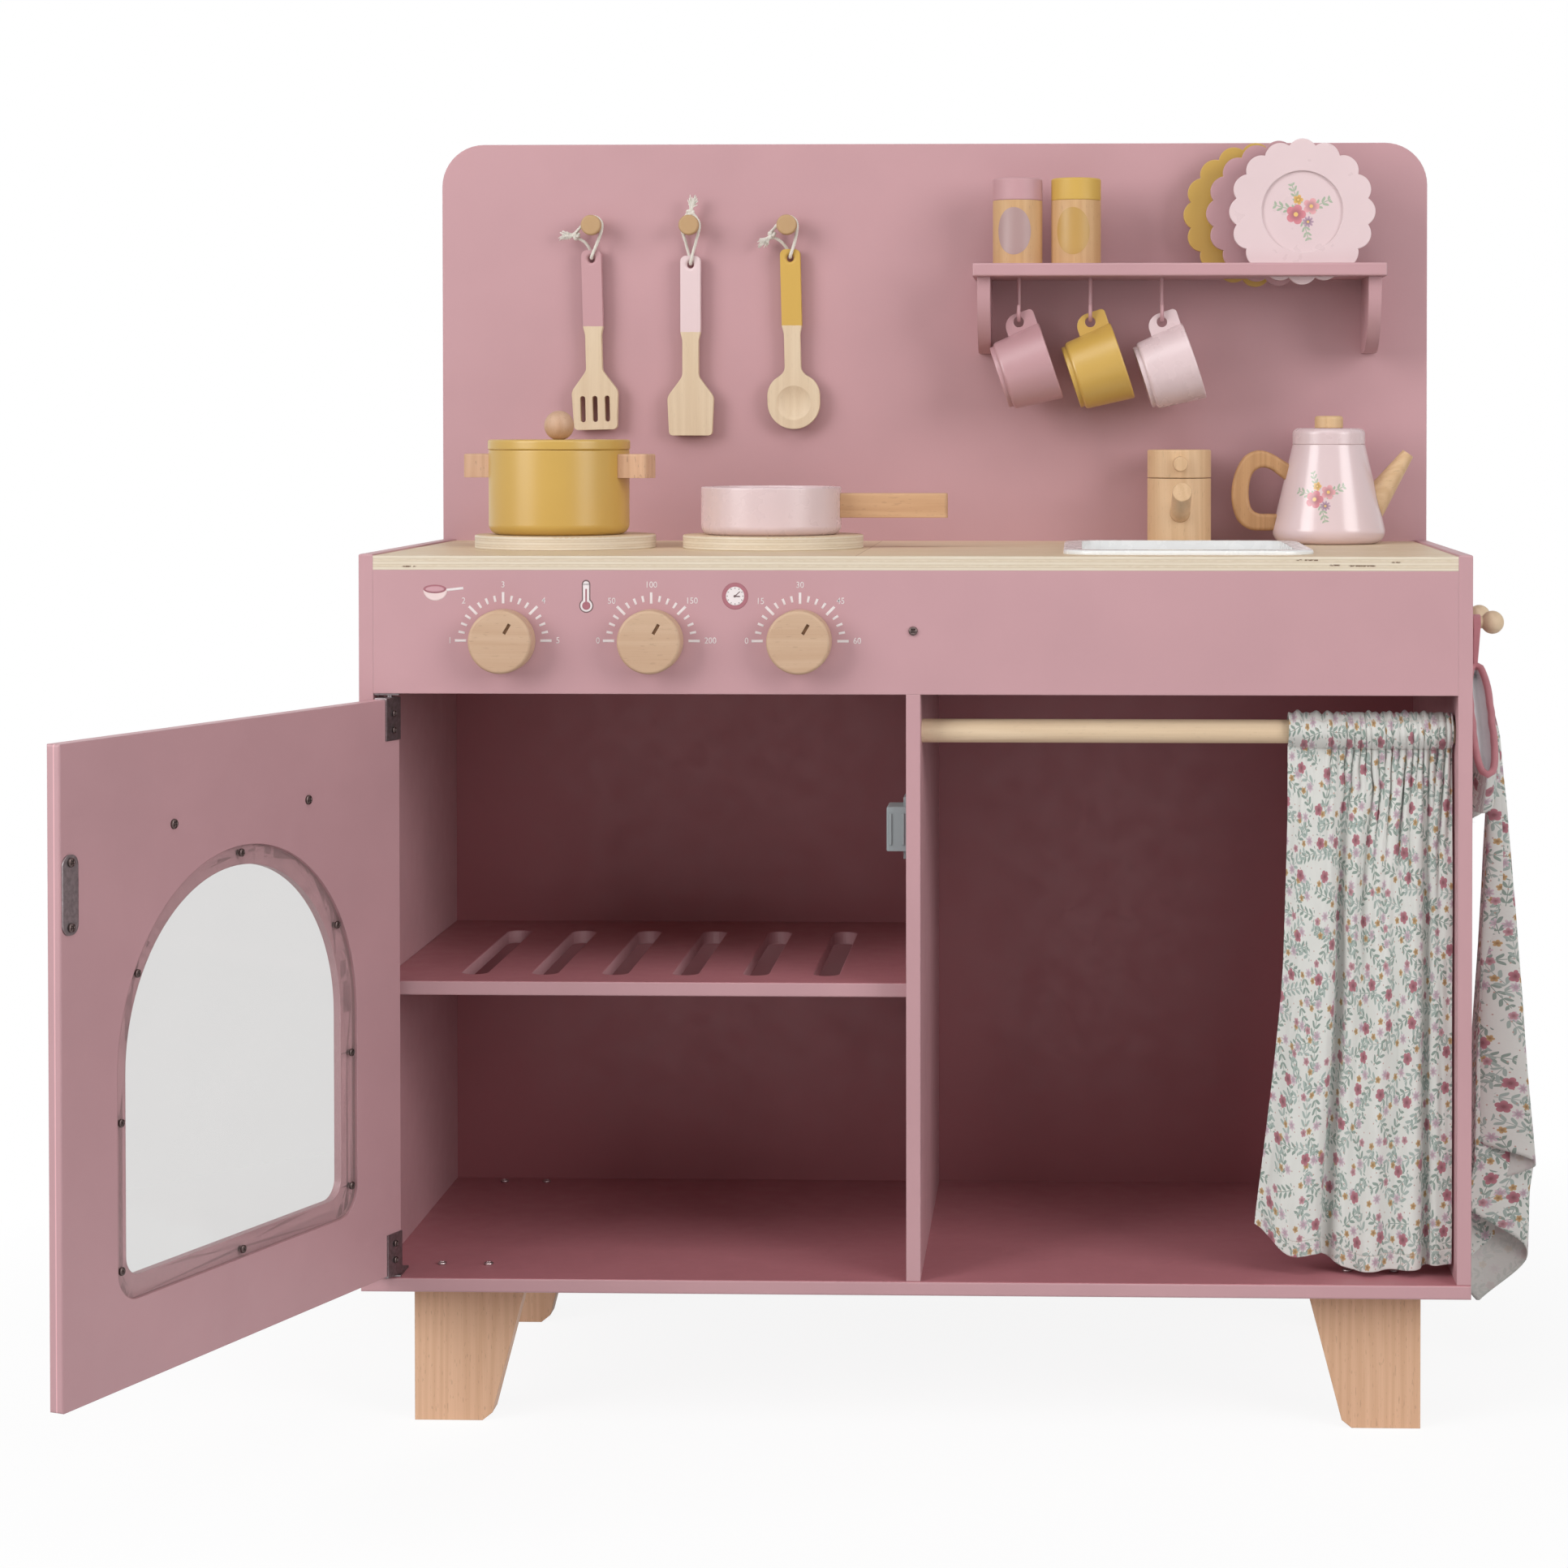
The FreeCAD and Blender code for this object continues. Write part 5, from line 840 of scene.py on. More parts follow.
def cut_rack():
    low, high = box_of("oven_rack")
    middle = (low + high) / 2
    half = RACK_SLOT / 2
    outlines = [[(low.x, low.y), (high.x, low.y), (high.x, high.y), (low.x, high.y)]]
    for step in range(RACK_SLOTS):
        x = middle.x + (step - (RACK_SLOTS - 1) / 2) * RACK_PITCH
        outlines.append([(x + half * cos(start + pi * k / 12), y + half * sin(start + pi * k / 12))
                         for y, start in ((RACK_SLOT_YS[1] - half, 0.0), (RACK_SLOT_YS[0] + half, pi))
                         for k in range(13)])
    verts, faces = cut_board(outlines, high.z - low.z, RACK_ROUND)
    piece = add_piece("oven_rack_board", [v + Vector((0, 0, middle.z)) for v in verts], faces, "cabinet",
                      "rose_paint", rose_shaded_inside, smooth=False)
    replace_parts(piece, "oven_rack")


def bend_grip():
    verts, faces = cut_board([smooth_line(GRIP_OUTER) + smooth_line(GRIP_INNER)], GRIP_THICK, GRIP_ROUND)
    placed = [(TEAPOT_X - v.x, TEAPOT_Y - v.z, DECK + v.y) for v in verts]
    piece = add_piece("teapot_grip", placed, flipped(faces), "teapot", "bare_wood", grip_wood, smooth=False)
    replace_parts(piece, "teapot_handle")


cut_rack()
bend_grip()


# Cords

CORD_R = 1.2
STRANDS = 3
STRAND_R = 0.72
STRAND_OFFSET = 0.58
STRAND_PITCH = 4.2
HAIRS = 90
# Peg, length in metres, body, way the tuft points and route from the peg's middle
CORDS = {
    "slotted_turner": (PEG_XS[0], 0.0772, "slotted_turner_hung", (-1.0, -0.1, 0.05), (
        (-13, -9.5, -5.5), (-7.1, -9, 0.6), (-4.1, -9, 5.9), (1.9, -9.3, 6.9), (6.5, -9.6, 3),
        (6.6, -10, -3), (3.2, -11, -12.5), (-1.2, -11.5, -22.8), (-1.3, -2.5, -22.8),
        (-4.4, -5, -11.5), (-11, -8, -8.6))),
    "flat_turner": (PEG_XS[1], 0.083, "flat_turner_hung", (0.22, -0.1, 1.0), (
        (1.5, -9.5, 9), (5.1, -9.5, 5.1), (7.1, -10, -0.6), (4, -11, -12), (0.1, -11.5, -26.9),
        (-0.1, -2.4, -26.9), (-4.2, -2.8, -11), (-7.1, -6, -0.6), (-5.1, -8, 5.1), (-1.5, -8.5, 9))),
    "stirring_spoon": (PEG_XS[2], 0.076, "spoon_hung", (-0.75, -0.1, -0.66), (
        (-12.5, -9.5, -5), (-7.1, -9, 0.6), (-4.1, -9, 5.9), (1.9, -9.3, 6.9), (6.5, -9.6, 3),
        (6.8, -10, -3), (5, -11, -12.5), (1.6, -11.5, -22.3), (1.5, -2.5, -22.3), (-3, -5, -11.5),
        (-10.2, -8, -8.2))),
}


def spline_points(route):
    """Points read from the smooth line of a route, in millimetres."""
    curve = put(bpy.data.curves.new("route", "CURVE"), dimensions="3D", resolution_u=10)
    line = curve.splines.new("NURBS")
    line.points.add(len(route) - 1)
    for point, place in zip(line.points, route):
        point.co = (*(Vector(place) * MM), 1.0)
    put(line, order_u=3, use_endpoint_u=True)
    return mesh_of(curve)[0]


def strands(points):
    """Twisted strands along a line."""
    heap = Heap()
    line = frames_along(points)
    for k in range(STRANDS):
        path = []
        for point, side, up, run in line:
            angle = TAU * (run / STRAND_PITCH + k / STRANDS)
            path.append(point + (side * cos(angle) + up * sin(angle)) * STRAND_OFFSET)
        heap.add(tube(path, STRAND_R, 6))
    return heap


def knot_and_ends(name, start, end, tuft, body):
    """Overhand knot where the two ends meet, and the fluffed tips that stand out of it."""
    rng = random.Random(name)
    middle = (start + end) / 2
    tuft = Vector(tuft).normalized()
    heap = Heap()
    turns = []
    for step in range(60):
        t = TAU * step / 60
        turns.append(middle + Vector((0.84 * (sin(t) + 1.6 * sin(2 * t)), -0.84 * sin(3 * t),
                                      0.84 * (cos(t) - 1.6 * cos(2 * t)))))
    heap.add(tube(turns, CORD_R, 8, closed=True))
    for _ in range(HAIRS):
        fan = Vector((rng.uniform(-1, 1), rng.uniform(-0.6, 0.6), rng.uniform(-1, 1)))
        reach = rng.uniform(5.5, 9.0)
        root = middle + tuft * 1.2 + fan * 0.7
        curl = Vector((rng.uniform(-1, 1), rng.uniform(-0.5, 0.5), rng.uniform(-1, 1))) * 0.12
        hair = [root + (tuft + fan * 0.30 * s + curl * sin(5 * s)) * reach * s
                for s in (0, 0.25, 0.5, 0.75, 1)]
        heap.add(tube(hair, lambda share: 0.5 - 0.2 * share, 5))
    return heap.piece(name, body, "cotton_cord", cord_look)


for tool, (peg_x, length, body, tuft, route) in CORDS.items():
    peg = Vector((peg_x, WALL, PEG_Z))
    path = spline_points([peg + Vector(point) for point in route])
    cord = strands(path).piece("cord_" + tool + "_twist", body, "cotton_cord", cord_look)
    knot = knot_and_ends("cord_" + tool + "_knot", path[0], path[-1], tuft, body)
    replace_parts(cord, "cord_" + tool)


# Curtain

CURTAIN_CUT = 205.0
CURTAIN_COLUMNS = 420
CURTAIN_RIGHT = 339.6
CURTAIN_DROP = 352.0
HEADER_TOP = 455.4
HEADER_BACK = 26
STITCH_DROP = 22.5
GATHERS = 24
LEFT_EDGE = ((100, 213.0), (135, 215.2), (186, 221.8), (238, 227.9), (290, 232.9), (341, 234.4),
             (393, 235.8), (456, 236.3))
HEM_LINE = ((0.0, 134.0), (0.16, 109.0), (0.3, 113.5), (0.5, 101.0), (0.8, 103.0), (1.0, 107.5))
# Place, reach along the cloth, turn and lean of the deep folds; the short ones add where they end
VALLEYS = ((0.10, 0.070, 0.30, 0.02), (0.31, 0.050, 1.30, 0.06), (0.50, 0.055, 0.60, -0.02),
           (0.66, 0.050, 0.55, 0.02), (0.84, 0.036, 1.20, 0.03))
CREASES = ((0.40, 0.020, 0.8, 0.03, 110), (0.465, 0.022, 0.9, 0.02, 180), (0.535, 0.020, 0.9, 0.0, 120),
           (0.60, 0.022, 0.9, -0.02, 200), (0.68, 0.020, 0.8, -0.01, 120), (0.745, 0.020, 0.85, 0.0, 150),
           (0.93, 0.020, 0.7, 0.0, 190))
# Strength of gathers and of deep folds by drop, and of gathers across the cloth
GATHER_BY_DROP = ((0, 1.15), (26, 1.25), (44, 0.9), (76, 0.36), (120, 0.12), (360, 0.05))
FOLD_BY_DROP = ((24, 0.0), (56, 0.5), (120, 0.85), (210, 1.0), (360, 1.05))
GATHER_ACROSS = ((0.0, 0.2), (0.17, 0.3), (0.24, 1.0), (1.0, 1.0))


def fold_turn(share, middle, reach, depth):
    """Turn of the cloth's line where it goes back into a fold and comes out again."""
    return sum(-side * depth * exp(-(((share - middle) / reach - 0.9 * side) / 0.75) ** 2)
               for side in (-1, 1))


def curtain_row(drop, columns):
    """Across positions and depths of the gathered cloth at a drop below the header's top."""
    down = drop / CURTAIN_DROP
    small = between(drop, GATHER_BY_DROP)
    deep = between(drop, FOLD_BY_DROP)
    x = y = 0.0
    xs, ys = [], []
    for i in range(columns):
        share = i / (columns - 1)
        drift = share + 0.012 * cloth_noise(share * 3, drop / 110, 5.0)
        gather = GATHERS * share + 0.6 * cloth_noise(share * 7, drop / 90, 2.0)
        crowd = between(share, GATHER_ACROSS) * (0.75 + 0.8 * cloth_noise(share * 17, drop / 160, 9.0))
        angle = sum(deep * fold_turn(drift, middle + lean * down, reach, depth)
                    for middle, reach, depth, lean in VALLEYS)
        for middle, reach, depth, lean, end in CREASES:
            shown = between(drop, ((24, 0.0), (46, 1.0), (end * 0.55, 0.8), (end, 0.0)))
            angle += shown * fold_turn(drift, middle + lean * down, reach, depth)
        angle += small * crowd * sin(TAU * gather)
        xs.append(x)
        ys.append(y)
        x += cos(angle) * CURTAIN_CUT / (columns - 1)
        y += sin(angle) * CURTAIN_CUT / (columns - 1)
    slope = (ys[-1] - ys[0]) / xs[-1]
    ys = [b - slope * a for a, b in zip(xs, ys)]
    middle = sum(ys) / columns
    return [a / xs[-1] for a in xs], [b - middle for b in ys]


def hang_curtain():
    columns = CURTAIN_COLUMNS
    drops = [-HEADER_BACK + 2.6 * i for i in range(10)] + [1.5 * i for i in range(24)]
    while drops[-1] < CURTAIN_DROP:
        drops.append(min(CURTAIN_DROP, drops[-1] + 3.2))
    verts, uv = [], []
    for drop in drops:
        fall = abs(drop)
        shares, depths = curtain_row(fall, columns)
        in_pocket = fall < STITCH_DROP
        round_rod = sin(pi * fall / STITCH_DROP) if in_pocket else 0.0
        out = 0.9 + (ROD_R + 2.6) * round_rod ** 0.7
        for i, (share, depth) in enumerate(zip(shares, depths)):
            at = i / (columns - 1)
            drop_here = (HEADER_TOP - eased(at, HEM_LINE)) * fall / CURTAIN_DROP
            level = HEADER_TOP - drop_here if drop >= 0 else HEADER_TOP + drop * 0.98
            left = eased(level, LEFT_EDGE)
            level += 2.2 * cloth_noise(at * 31, 0.0, 4.0) * (1 - min(1.0, fall / 14))
            crease = 0.8 * cloth_noise(at * 15, drop / 60, 1.0) + 0.5 * cloth_noise(at * 34, drop / 30, 8.0)
            depth_here = depth * (0.55 if in_pocket else 1.0) + crease * min(1.0, fall / 60)
            forward = -out if drop >= 0 else out
            verts.append((left + (CURTAIN_RIGHT - left) * share, ROD.y + forward + depth_here, level))
            uv.append((at * CURTAIN_CUT * MM, (drop + HEADER_BACK) * MM))
    piece = add_piece("curtain_cloth", verts, grid_faces(columns, len(drops)), "curtain_body",
                      "printed_cotton", hem_cloth, uv=uv)
    thicken(piece, 0.6)
    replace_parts(piece, "curtain")


hang_curtain()


# Towel hung by a corner on the rear side peg

TOWEL_CUT = 310.0
TOWEL_APEX = (363.0, TOWEL_PEG_Y, 481.0)
TOWEL_RAYS, TOWEL_ROWS = 320, 120
TOWEL_START = 9.0
# Share of the corner's turn where the foremost fold lies, the step to the next, and the outer edge by length
TOWEL_FRONT = 0.278
TOWEL_FOLD = 0.169
TOWEL_OUTER = ((9, 368.0), (30, 383.0), (53, 388.7), (109, 394.4), (210, 401.4), (277, 406.0), (342, 411.8),
               (360, 409.0), (406, 407.5), (440, 406.0))
TOWEL_SPREAD = ((9, 0.3), (60, 0.8), (140, 1.0), (460, 1.0))
LOOP_R = 5.3


def towel_point(share, far):
    """Place of the cloth at a share of the held corner's turn and a distance from the corner."""
    turn = (share - TOWEL_FRONT) / TOWEL_FOLD + 0.06 * cloth_noise(share * 5, far / 160, 7.0)
    layer = floor(turn + 0.5)
    swing = 0.5 + 0.5 * cos(TAU * turn)
    if layer not in (0, 1):
        swing *= 0.84 + 0.3 * cloth_noise(layer * 3.1, far / 260, 3.0)
    outer = between(far, TOWEL_OUTER)
    room = min(outer - TOWEL_APEX[0] - 1.0, 2.0 + 0.115 * far)
    past = share - TOWEL_FRONT
    along = far * (-0.065 + 0.150 * (past * 1.385 if past > 0 else past * -2.2)) * between(far, TOWEL_SPREAD)
    along += (4.0 * sin(TAU * turn) + 2.0 * cloth_noise(share * 9, far / 90, 2.5)) * min(1.0, far / 120)
    x = outer - room * (1 - swing) + 0.6 * cloth_noise(share * 16, far / 45, 1.5)
    return x, TOWEL_APEX[1] + along, TOWEL_APEX[2] - far


def hang_towel():
    """Folds that run straight from the held corner, as a cone folded to and fro."""
    verts, uv = [], []
    for j in range(TOWEL_ROWS):
        for i in range(TOWEL_RAYS):
            share = i / (TOWEL_RAYS - 1)
            corner = share * pi / 2
            reach = TOWEL_CUT / max(cos(corner), sin(corner))
            far = TOWEL_START + (reach - TOWEL_START) * j / (TOWEL_ROWS - 1)
            verts.append(towel_point(share, far))
            uv.append((far * cos(corner) * MM, far * sin(corner) * MM))
    piece = add_piece("towel_cloth", verts, flipped(grid_faces(TOWEL_RAYS, TOWEL_ROWS)), "towel",
                      "printed_cotton", print_cloth, back_cloth, uv=uv)
    thicken(piece, 0.8, material_offset=1, material_offset_rim=0)
    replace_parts(piece, "tea_towel")


def hanging_loop(name, y, body, foot, lean):
    """Folded tape over a side peg: up one side, round the stem and down the other."""
    top = SIDE_PEG_Z
    rise = [(1.2, foot), (3.4, foot + 8), (5.2, top - 7)]
    line = [(y - out, z) for out, z in rise]
    for step in range(9):
        angle = pi - pi * step / 8
        line.append((y + LOOP_R * cos(angle), top + 5.0 * sin(angle)))
    line += [(y + out, z) for out, z in reversed(rise)]
    verts = []
    for a, b in line:
        high = max(0.0, min(1.0, (b - foot) / (top - foot)))
        half = 1.3 + 1.3 * high
        verts += [(SIDE_PEG_X + lean * (1 - high) + half * side, a, b) for side in (-1, -0.4, 0.4, 1)]
    piece = add_piece(name, verts, grid_faces(4, len(line)), body, "printed_cotton", rose_tape)
    thicken(piece, 0.9, offset=0.0)
    soften(piece, 2)
    return piece


hang_towel()
towel_loop = hanging_loop("towel_loop", TOWEL_PEG_Y, "towel", 477.0, -1.0)


# Oven mitt on the front side peg

MITT_CUFF = 92.0
MITT_CORNER = (MITT_PEG_Y, 479.5)
MITT_MIDDLE = 364.2
MITT_HALF = 14.5
MITT_INNER_HALF = 12.0
MITT_TURN = radians(45)
MITT_STEP = 3.0
MITT_QUILT = 26.0
CUFF_STEPS = 34
LINING_STEPS = 13
MITT_OUTLINE = (((0, -MITT_CUFF), 0), ((36, -95.5), 0), ((70, -97), 30), ((116, -90), 34), ((116, -33), 30),
                ((74, -32), 9), ((86, 0), 15), ((52, 8), 16), ((24, 2), 0), ((0, 0), 0))


def mitt_place(x, a, b):
    """Mitt's own length a and width b, turned on the peg, to the kitchen's frame."""
    return Vector((x, MITT_CORNER[0] + a * cos(MITT_TURN) + b * sin(MITT_TURN),
                   MITT_CORNER[1] - a * sin(MITT_TURN) + b * cos(MITT_TURN)))


def rounded(outline, step=MITT_STEP):
    """Points along an open outline whose corners have radii."""
    found = []
    for i, (corner, radius) in enumerate(outline):
        corner = Vector(corner)
        if not radius:
            found.append(corner)
            continue
        to = [(Vector(outline[i + k][0]) - corner).normalized() for k in (-1, 1)]
        half = acos(max(-1, min(1, to[0].dot(to[1])))) / 2
        back = radius / tan(half)
        centre = corner + (to[0] + to[1]).normalized() * radius / sin(half)
        first, second = corner + to[0] * back - centre, corner + to[1] * back - centre
        count = max(3, int(radius * (pi - 2 * half) / step))
        found += [centre + first.slerp(second, k / count) for k in range(count + 1)]
    even = [found[0]]
    for a, b in zip(found, found[1:]):
        count = max(1, round((b - a).length / step))
        even += [a + (b - a) * (k + 1) / count for k in range(count)]
    return even


def nearest_edge(point, line):
    best = 1e9
    for a, b in zip(line, line[1:]):
        along = b - a
        share = max(0.0, min(1.0, (point - a).dot(along) / max(1e-9, along.length_squared)))
        best = min(best, (point - a - along * share).length)
    return best


def mitt_half_depth(point, line):
    """Half thickness of the padded mitt at a point of its outline."""
    inward = min(1.0, nearest_edge(point, line) / 30.0)
    swell = sqrt(max(0.0, 1 - (1 - inward) ** 2))
    pucker = 0.5 * cloth_noise(point.x / 9, point.y / 9, 1.0) * min(1.0, inward * 3)
    quilt = abs(sin(pi * (point.x + point.y * 0.15) / MITT_QUILT))
    sewn = -0.9 * exp(-((quilt / 0.16) ** 2)) * min(1.0, inward * 2.5)
    mouth = 0.42 + 0.58 * min(1.0, point.x / 50)
    return max(0.0, (MITT_HALF - 2.0) * swell * mouth + 1.1 * min(1.0, inward * 12) + pucker + sewn)


def mitt_net(ring, line):
    """Flat triangles inside the mitt's outline: points, faces and the points on its seam."""
    flat = bmesh.new()
    corners = [flat.verts.new((p.x, p.y, 0)) for p in ring]
    edges = [flat.edges.new((corner, corners[(i + 1) % len(corners)])) for i, corner in enumerate(corners)]

    def even_out():
        bmesh.ops.beautify_fill(flat, faces=flat.faces, edges=[e for e in flat.edges if not e.is_boundary])

    bmesh.ops.triangle_fill(flat, use_beauty=True, edges=edges)
    for limit in (40, 20, 10, 6):
        long_edges = [e for e in flat.edges if e.calc_length() > limit and not e.is_boundary]
        if long_edges:
            bmesh.ops.subdivide_edges(flat, edges=long_edges, cuts=1)
            bmesh.ops.triangulate(flat, faces=flat.faces)
        even_out()
    for _ in range(12):
        bmesh.ops.smooth_vert(flat, verts=[v for v in flat.verts if not v.is_boundary], factor=0.5,
                              use_axis_x=True, use_axis_y=True)
        even_out()
    flat.verts.index_update()
    flat.normal_update()
    spots = [v.co.to_2d() for v in flat.verts]
    seam = {i for i, v in enumerate(flat.verts)
            if v.is_boundary and (v.co.x > 0.01 or nearest_edge(v.co.to_2d(), line) < 0.01)}
    faces = [tuple(v.index for v in f.verts) for f in flat.faces]
    flat.free()
    return spots, faces, seam


def sew_mitt():
    line = rounded(MITT_OUTLINE)
    cuff = [Vector((0, -MITT_CUFF + MITT_CUFF * k / CUFF_STEPS)) for k in range(1, CUFF_STEPS)]
    spots, faces, seam = mitt_net(line + list(reversed(cuff)), line)
    verts, uv, other = [], [], {}
    for i, spot in enumerate(spots):
        deep = 0.0 if i in seam else mitt_half_depth(spot, line)
        verts.append(mitt_place(MITT_MIDDLE + deep, *spot))
        uv.append((0.2 + spot.x * MM, 0.2 + spot.y * MM))
    for i, spot in enumerate(spots):
        other[i] = i
        if i not in seam:
            other[i] = len(verts)
            verts.append(mitt_place(MITT_MIDDLE - min(MITT_INNER_HALF, mitt_half_depth(spot, line)), *spot))
            uv.append((0.5 + spot.x * MM, 0.2 + spot.y * MM))
    a, b, c = (verts[i] for i in faces[0][:3])
    near = faces if (b - a).cross(c - a).x > 0 else flipped(faces)
    far = [tuple(other[i] for i in face) for face in flipped(near)]
    piece = add_piece("mitt_padded", verts, near + far, "mitt", "printed_cotton", print_cloth, lining_cloth,
                      uv=uv)
    thicken(piece, 2.6, offset=-1.0, material_offset=1, material_offset_rim=1)
    soften(piece, 1)
    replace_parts(piece, "oven_mitt")
    line_cuff(cuff, line)


def line_cuff(cuff, line):
    """Lining that shows in the mitt's mouth, and the tape round it."""
    def rim_point(y, side):
        deep = mitt_half_depth(Vector((0.01, y)), line) if 0 > y > -MITT_CUFF else 0.0
        return mitt_place(MITT_MIDDLE + (deep if side > 0 else -min(MITT_INNER_HALF, deep)), -0.6, y)

    levels = [-MITT_CUFF] + [spot.y for spot in cuff] + [0]
    near_rim, far_rim = ([rim_point(y, side) for y in levels] for side in (1, -1))
    inside = Vector((0, cos(MITT_TURN), -sin(MITT_TURN)))
    shares = [k / (LINING_STEPS - 1) for k in range(LINING_STEPS)]
    verts = [a.lerp(b, share) + inside * (1.0 + 7.0 * sin(pi * share))
             for a, b in zip(near_rim, far_rim) for share in shares]
    uv = [(0.8 + k * MM, 0.1 + row * 2.7 * MM) for row in range(len(levels)) for k in range(LINING_STEPS)]
    lining = add_piece("mitt_lining", verts, grid_faces(LINING_STEPS, len(levels)), "mitt", "printed_cotton",
                       lining_cloth, uv=uv)
    thicken(lining, 0.8)
    rim = near_rim + list(reversed(far_rim))[1:-1]
    binding = add_piece("mitt_binding", *tube(rim, 2.4, 10, closed=True), "mitt", "printed_cotton", rose_tape)


sew_mitt()
mitt_loop = hanging_loop("mitt_loop", MITT_PEG_Y, "mitt", 476.0, -0.8)


# Screw heads with a cross recess

HEAD_SIDES = 32
PANE_SCREWS = ((0, 386.25), (0, 152.5), (97.21, 330.1), (-97.21, 330.1), (112.25, 248.8),
               (-112.25, 248.8), (112.25, 166.0), (-112.25, 166.0))
PANE_MIDDLE = 160.75
# On the door, in its own frame: along it, through it and up, then the head's radius and height
DOOR_SCREWS = ([(PANE_MIDDLE + du, 4.5, z, 2.4, 1.5) for du, z in PANE_SCREWS]
               + [(u, 6.0, 410.5, 2.9, 1.5) for u in (95.25, 226.25)]
               + [(317.8, 7.0, 382 + dz, 2.6, 1.5) for dz in (-17.8, 17.8)]
               + [(4.0, 7.0, z, 2.0, 1.0) for z in (109.6, 120.0, 455.4, 445.0)])
# On the cabinet: middle of the head's top, its direction, radius and height, and which steel
CABINET_SCREWS = ([((sign * x, y, 99.5), (0, 0, 1), 3.0, 1.5, 1)
                   for x in (305, 275) for sign in (-1, 1) for y in (-108.5, 121.5)]
                  + [((0, -144.0, 508.0), (0, -1, 0), 2.8, 1.5, 0)]
                  + [((-338.3, -120.7, z), (1, 0, 0), 2.0, 1.0, 0) for z in (107.1, 117.5, 458.9, 448.5)])


def screw_head(centre, axis, radius, height):
    """Domed head whose top is at centre, with a cross sunk into it."""
    centre, axis = Vector(centre), Vector(axis).normalized()
    side = axis.orthogonal().normalized()
    up = axis.cross(side)
    arm, half = radius * 0.60, radius * 0.17
    angles = [TAU * k / HEAD_SIDES for k in range(HEAD_SIDES)]

    def cross(angle):
        angle = (angle + pi / 4) % (pi / 2) - pi / 4
        return min(arm / cos(angle), half / max(1e-6, abs(sin(angle))), arm)

    recess = [cross(angle) for angle in angles]
    rings = [([radius * share] * HEAD_SIDES, -height * drop)
             for share, drop in ((1.0, 1.0), (1.0, 0.5), (0.94, 0.22), (0.78, 0.04))]
    rings += [(recess, 0.0), (recess, -0.12), ([reach * 0.72 for reach in recess], -height * 0.75)]
    verts = [centre + (side * cos(angle) + up * sin(angle)) * reach + axis * level
             for reaches, level in rings for reach, angle in zip(reaches, angles)]
    verts.append(centre - axis * height * 0.8)
    faces = grid_faces(HEAD_SIDES, len(rings), around=True)
    last = (len(rings) - 1) * HEAD_SIDES
    faces += [(last + k, last + (k + 1) % HEAD_SIDES, len(verts) - 1) for k in range(HEAD_SIDES)]
    faces.append(tuple(reversed(range(HEAD_SIDES))))
    return verts, faces


def set_screws():
    heap, marks = Heap(), []
    for centre, axis, radius, height, mark in CABINET_SCREWS:
        before = len(heap.faces)
        heap.add(screw_head(centre, axis, radius, height))
        marks += [mark] * (len(heap.faces) - before)
    piece = heap.piece("cabinet_screw_heads", "cabinet", "steel", dark_steel, bright_steel, marks=marks)
    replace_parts(piece, "cabinet_screws")
    heap = Heap()
    for u, y, z, radius, height in DOOR_SCREWS:
        heap.add(screw_head(DOOR_TURN @ Vector((u, y, z)) + DOOR_PIVOT, INWARD, radius, height))
    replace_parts(heap.piece("door_screw_heads", "door", "steel", dark_steel), "door_screws")


set_screws()


# Printed scales, numbers and pictograms on the fascia

INK = 0.07
INKS = {"white": ("white_plastic", tint(236, 226, 226)), "rose": ("rose_paint", tint(166, 104, 114)),
        "pale": ("blush_paint", tint(232, 208, 206)), "mid": ("rose_paint", tint(200, 152, 160)),
        "dark": ("grey_plastic", tint(112, 86, 88))}
SCALES = (("1", "2", "3", "4", "5"), ("0", "50", "100", "150", "200"), ("0", "15", "30", "45", "60"))
NUMBER_PLACES = ((-33.7, 0.0), (-25.0, 25.0), (0.0, 35.2), (25.6, 25.2), (34.6, 0.1))
NUMBER_SIZE = 5.6
UP = pi / 2


def bar(x, z, angle, inner, outer, width, taper=1.0):
    ahead = Vector((cos(angle), sin(angle)))
    side = Vector((-ahead.y, ahead.x)) * width / 2
    middle = Vector((x, z))
    return [middle + ahead * inner - side * taper, middle + ahead * outer - side,
            middle + ahead * outer + side, middle + ahead * inner + side * taper]


def disc(x, z, across, up, count=40, start=0.0, end=TAU):
    steps = count if end - start > 6.2 else count + 1
    angles = [start + (end - start) * k / count for k in range(steps)]
    return [(x + across * cos(angle), z + up * sin(angle)) for angle in angles]


# Pictograms round their middles: ink, outline and how far it lies over the first layer of ink

def pan_sign(x, z):
    return [("pale", disc(x + 0.3, z - 0.6, 7.6, 6.8, 30, pi, TAU), 0.2),
            ("rose", disc(x, z, 7.3, 2.7), 0.8),
            ("mid", disc(x, z - 0.1, 5.9, 1.8), 1.4),
            ("white", bar(x + 6.9, z - 0.7, radians(6.5), 0.0, 11.2, 1.6), 0.0)]


def thermometer_sign(x, z):
    bulb = x + 0.1, z - 2.4
    return [("dark", bar(x, z, UP, 0.0, 11.2, 5.4), -0.6),
            ("dark", disc(x, z + 11.2, 2.7, 2.7, 20, 0.0, pi), -0.6),
            ("dark", disc(*bulb, 4.5, 4.5), -0.5),
            ("white", bar(x, z, UP, 0.0, 11.2, 4.0), 0.0),
            ("white", disc(x, z + 11.0, 2.0, 2.0, 20, 0.0, pi), 0.0),
            ("white", disc(*bulb, 3.8, 3.8), 0.1),
            ("rose", disc(*bulb, 2.6, 2.6), 1.0),
            ("rose", bar(x, z - 1.0, UP, 0.0, 9.2, 1.0), 1.2)]


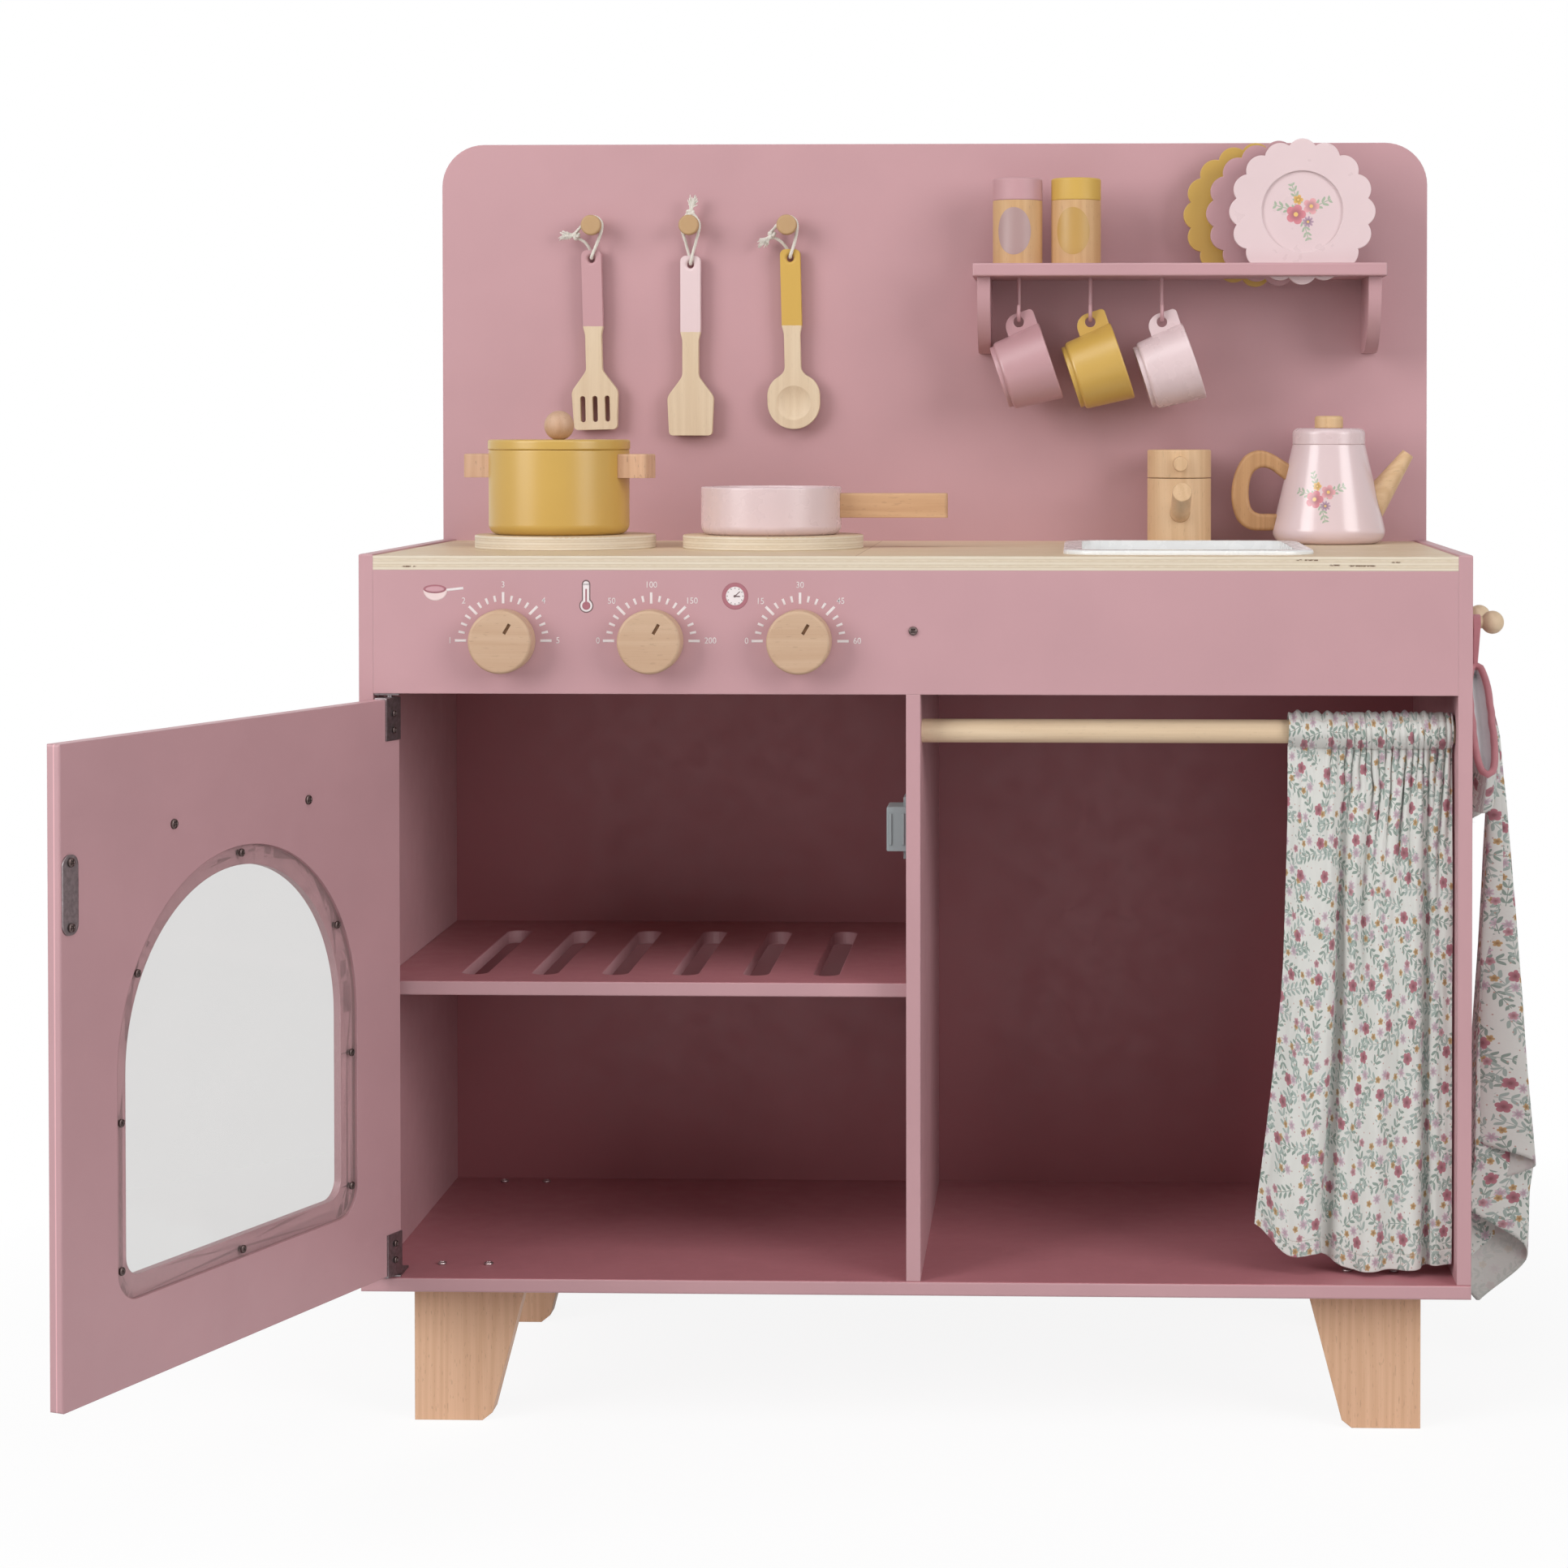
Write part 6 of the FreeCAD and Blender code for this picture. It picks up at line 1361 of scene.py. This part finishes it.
def clock_sign(x, z):
    pivot = x - 0.2, z - 0.1
    hours = [("dark", bar(x, z, TAU * step / 12, 4.5, 5.4, 0.4), 1.6) for step in range(12)]
    return [("rose", disc(x, z, 8.3, 8.5), 0.0),
            ("white", disc(x, z, 5.8, 5.9), 0.8),
            *hours,
            ("dark", bar(*pivot, radians(42), 0.0, 4.4, 0.6), 1.8),
            ("dark", bar(*pivot, radians(-3), 0.0, 3.3, 0.8), 2.0),
            ("dark", disc(*pivot, 0.8, 0.8, 16), 2.2)]


SIGNS = pan_sign(-301.7, 534.0) + thermometer_sign(-206.0, 526.0) + clock_sign(-112.0, 529.8)


def flat_shape(corners, lift=0.0):
    """A printed patch from X and Z corners, a thin prism on the fascia."""
    count = len(corners)
    front = FRONT - INK * (1 + lift)
    verts = [(x, y, z) for y in (FRONT + 0.01, front) for x, z in corners]
    faces = [tuple(reversed(range(count))), tuple(range(count, 2 * count))]
    faces += [(i, (i + 1) % count, count + (i + 1) % count, count + i) for i in range(count)]
    return verts, faces


def number(text, x, z):
    """Digits as a thin mesh on the fascia, in millimetres."""
    data = put(bpy.data.curves.new("digits", "FONT"), body=text, align_x="CENTER", align_y="CENTER",
               size=NUMBER_SIZE * MM, extrude=INK * MM / 2, offset=0.02 * MM, resolution_u=3)
    verts, faces = mesh_of(data)
    return [(x + v.x * 0.92, FRONT - INK / 2 - v.z, z + v.y) for v in verts], faces


def print_fascia():
    heaps = {ink: Heap() for ink in INKS}
    for x, texts in zip(KNOB_XS, SCALES):
        for step in range(17):
            angle = pi * (1 - step / 16)
            size = (24.8, 28.8, 1.6, 0.85) if step % 4 else (23.4, 30.6, 1.7)
            heaps["white"].add(flat_shape(bar(x, KNOB_Z, angle, *size)))
        for text, (dx, dz) in zip(texts, NUMBER_PLACES):
            wide = 1.35 * (len(text) - 1)
            shift = -wide * 0.35 if dx < -30 else (wide if dx > 30 else 0.0)
            heaps["white"].add(number(text, x + dx + shift, KNOB_Z + dz))
    for ink, outline, lift in SIGNS:
        heaps[ink].add(flat_shape(outline, lift))
    for ink, (slot, colour) in INKS.items():
        heaps[ink].piece("dial_print_" + ink, "cabinet", slot, painted(ink + "_ink", colour), smooth=False)


print_fascia()


# Bare oval labels on the shakers

LABEL_OVER = 0.12
LABEL_HALF_WIDE, LABEL_HALF_HIGH = 12.4, 16.4
LABEL_Z = 772.0
LABEL_TURN = radians(-8)
LABEL_RINGS, LABEL_SIDES = 8, 48


def label(name, shaker, body, slot, colour):
    """A bare printed oval wrapped on a shaker."""
    middle = middle_of(shaker)
    radius = box_of(shaker)[1].x - middle.x + LABEL_OVER

    def at(share, angle):
        around = LABEL_TURN + LABEL_HALF_WIDE * share * cos(angle) / radius
        return (middle.x + radius * sin(around), middle.y - radius * cos(around),
                LABEL_Z + LABEL_HALF_HIGH * share * sin(angle))

    verts = [at((ring + 1) / LABEL_RINGS, TAU * k / LABEL_SIDES) for ring in range(LABEL_RINGS)
             for k in range(LABEL_SIDES)] + [at(0.0, 0.0)]
    faces = grid_faces(LABEL_SIDES, LABEL_RINGS, around=True)
    faces += [((k + 1) % LABEL_SIDES, k, len(verts) - 1) for k in range(LABEL_SIDES)]
    piece = add_piece(name, verts, faces, body, slot, painted(name + "_paint", colour, 0.02), smooth=False)
    thicken(piece, 0.1, offset=0.0)


label("salt_label", "salt_shaker", "salt", "rose_paint", tint(168, 138, 136))
label("pepper_label", "pepper_shaker", "pepper", "mustard_paint", tint(186, 146, 78))
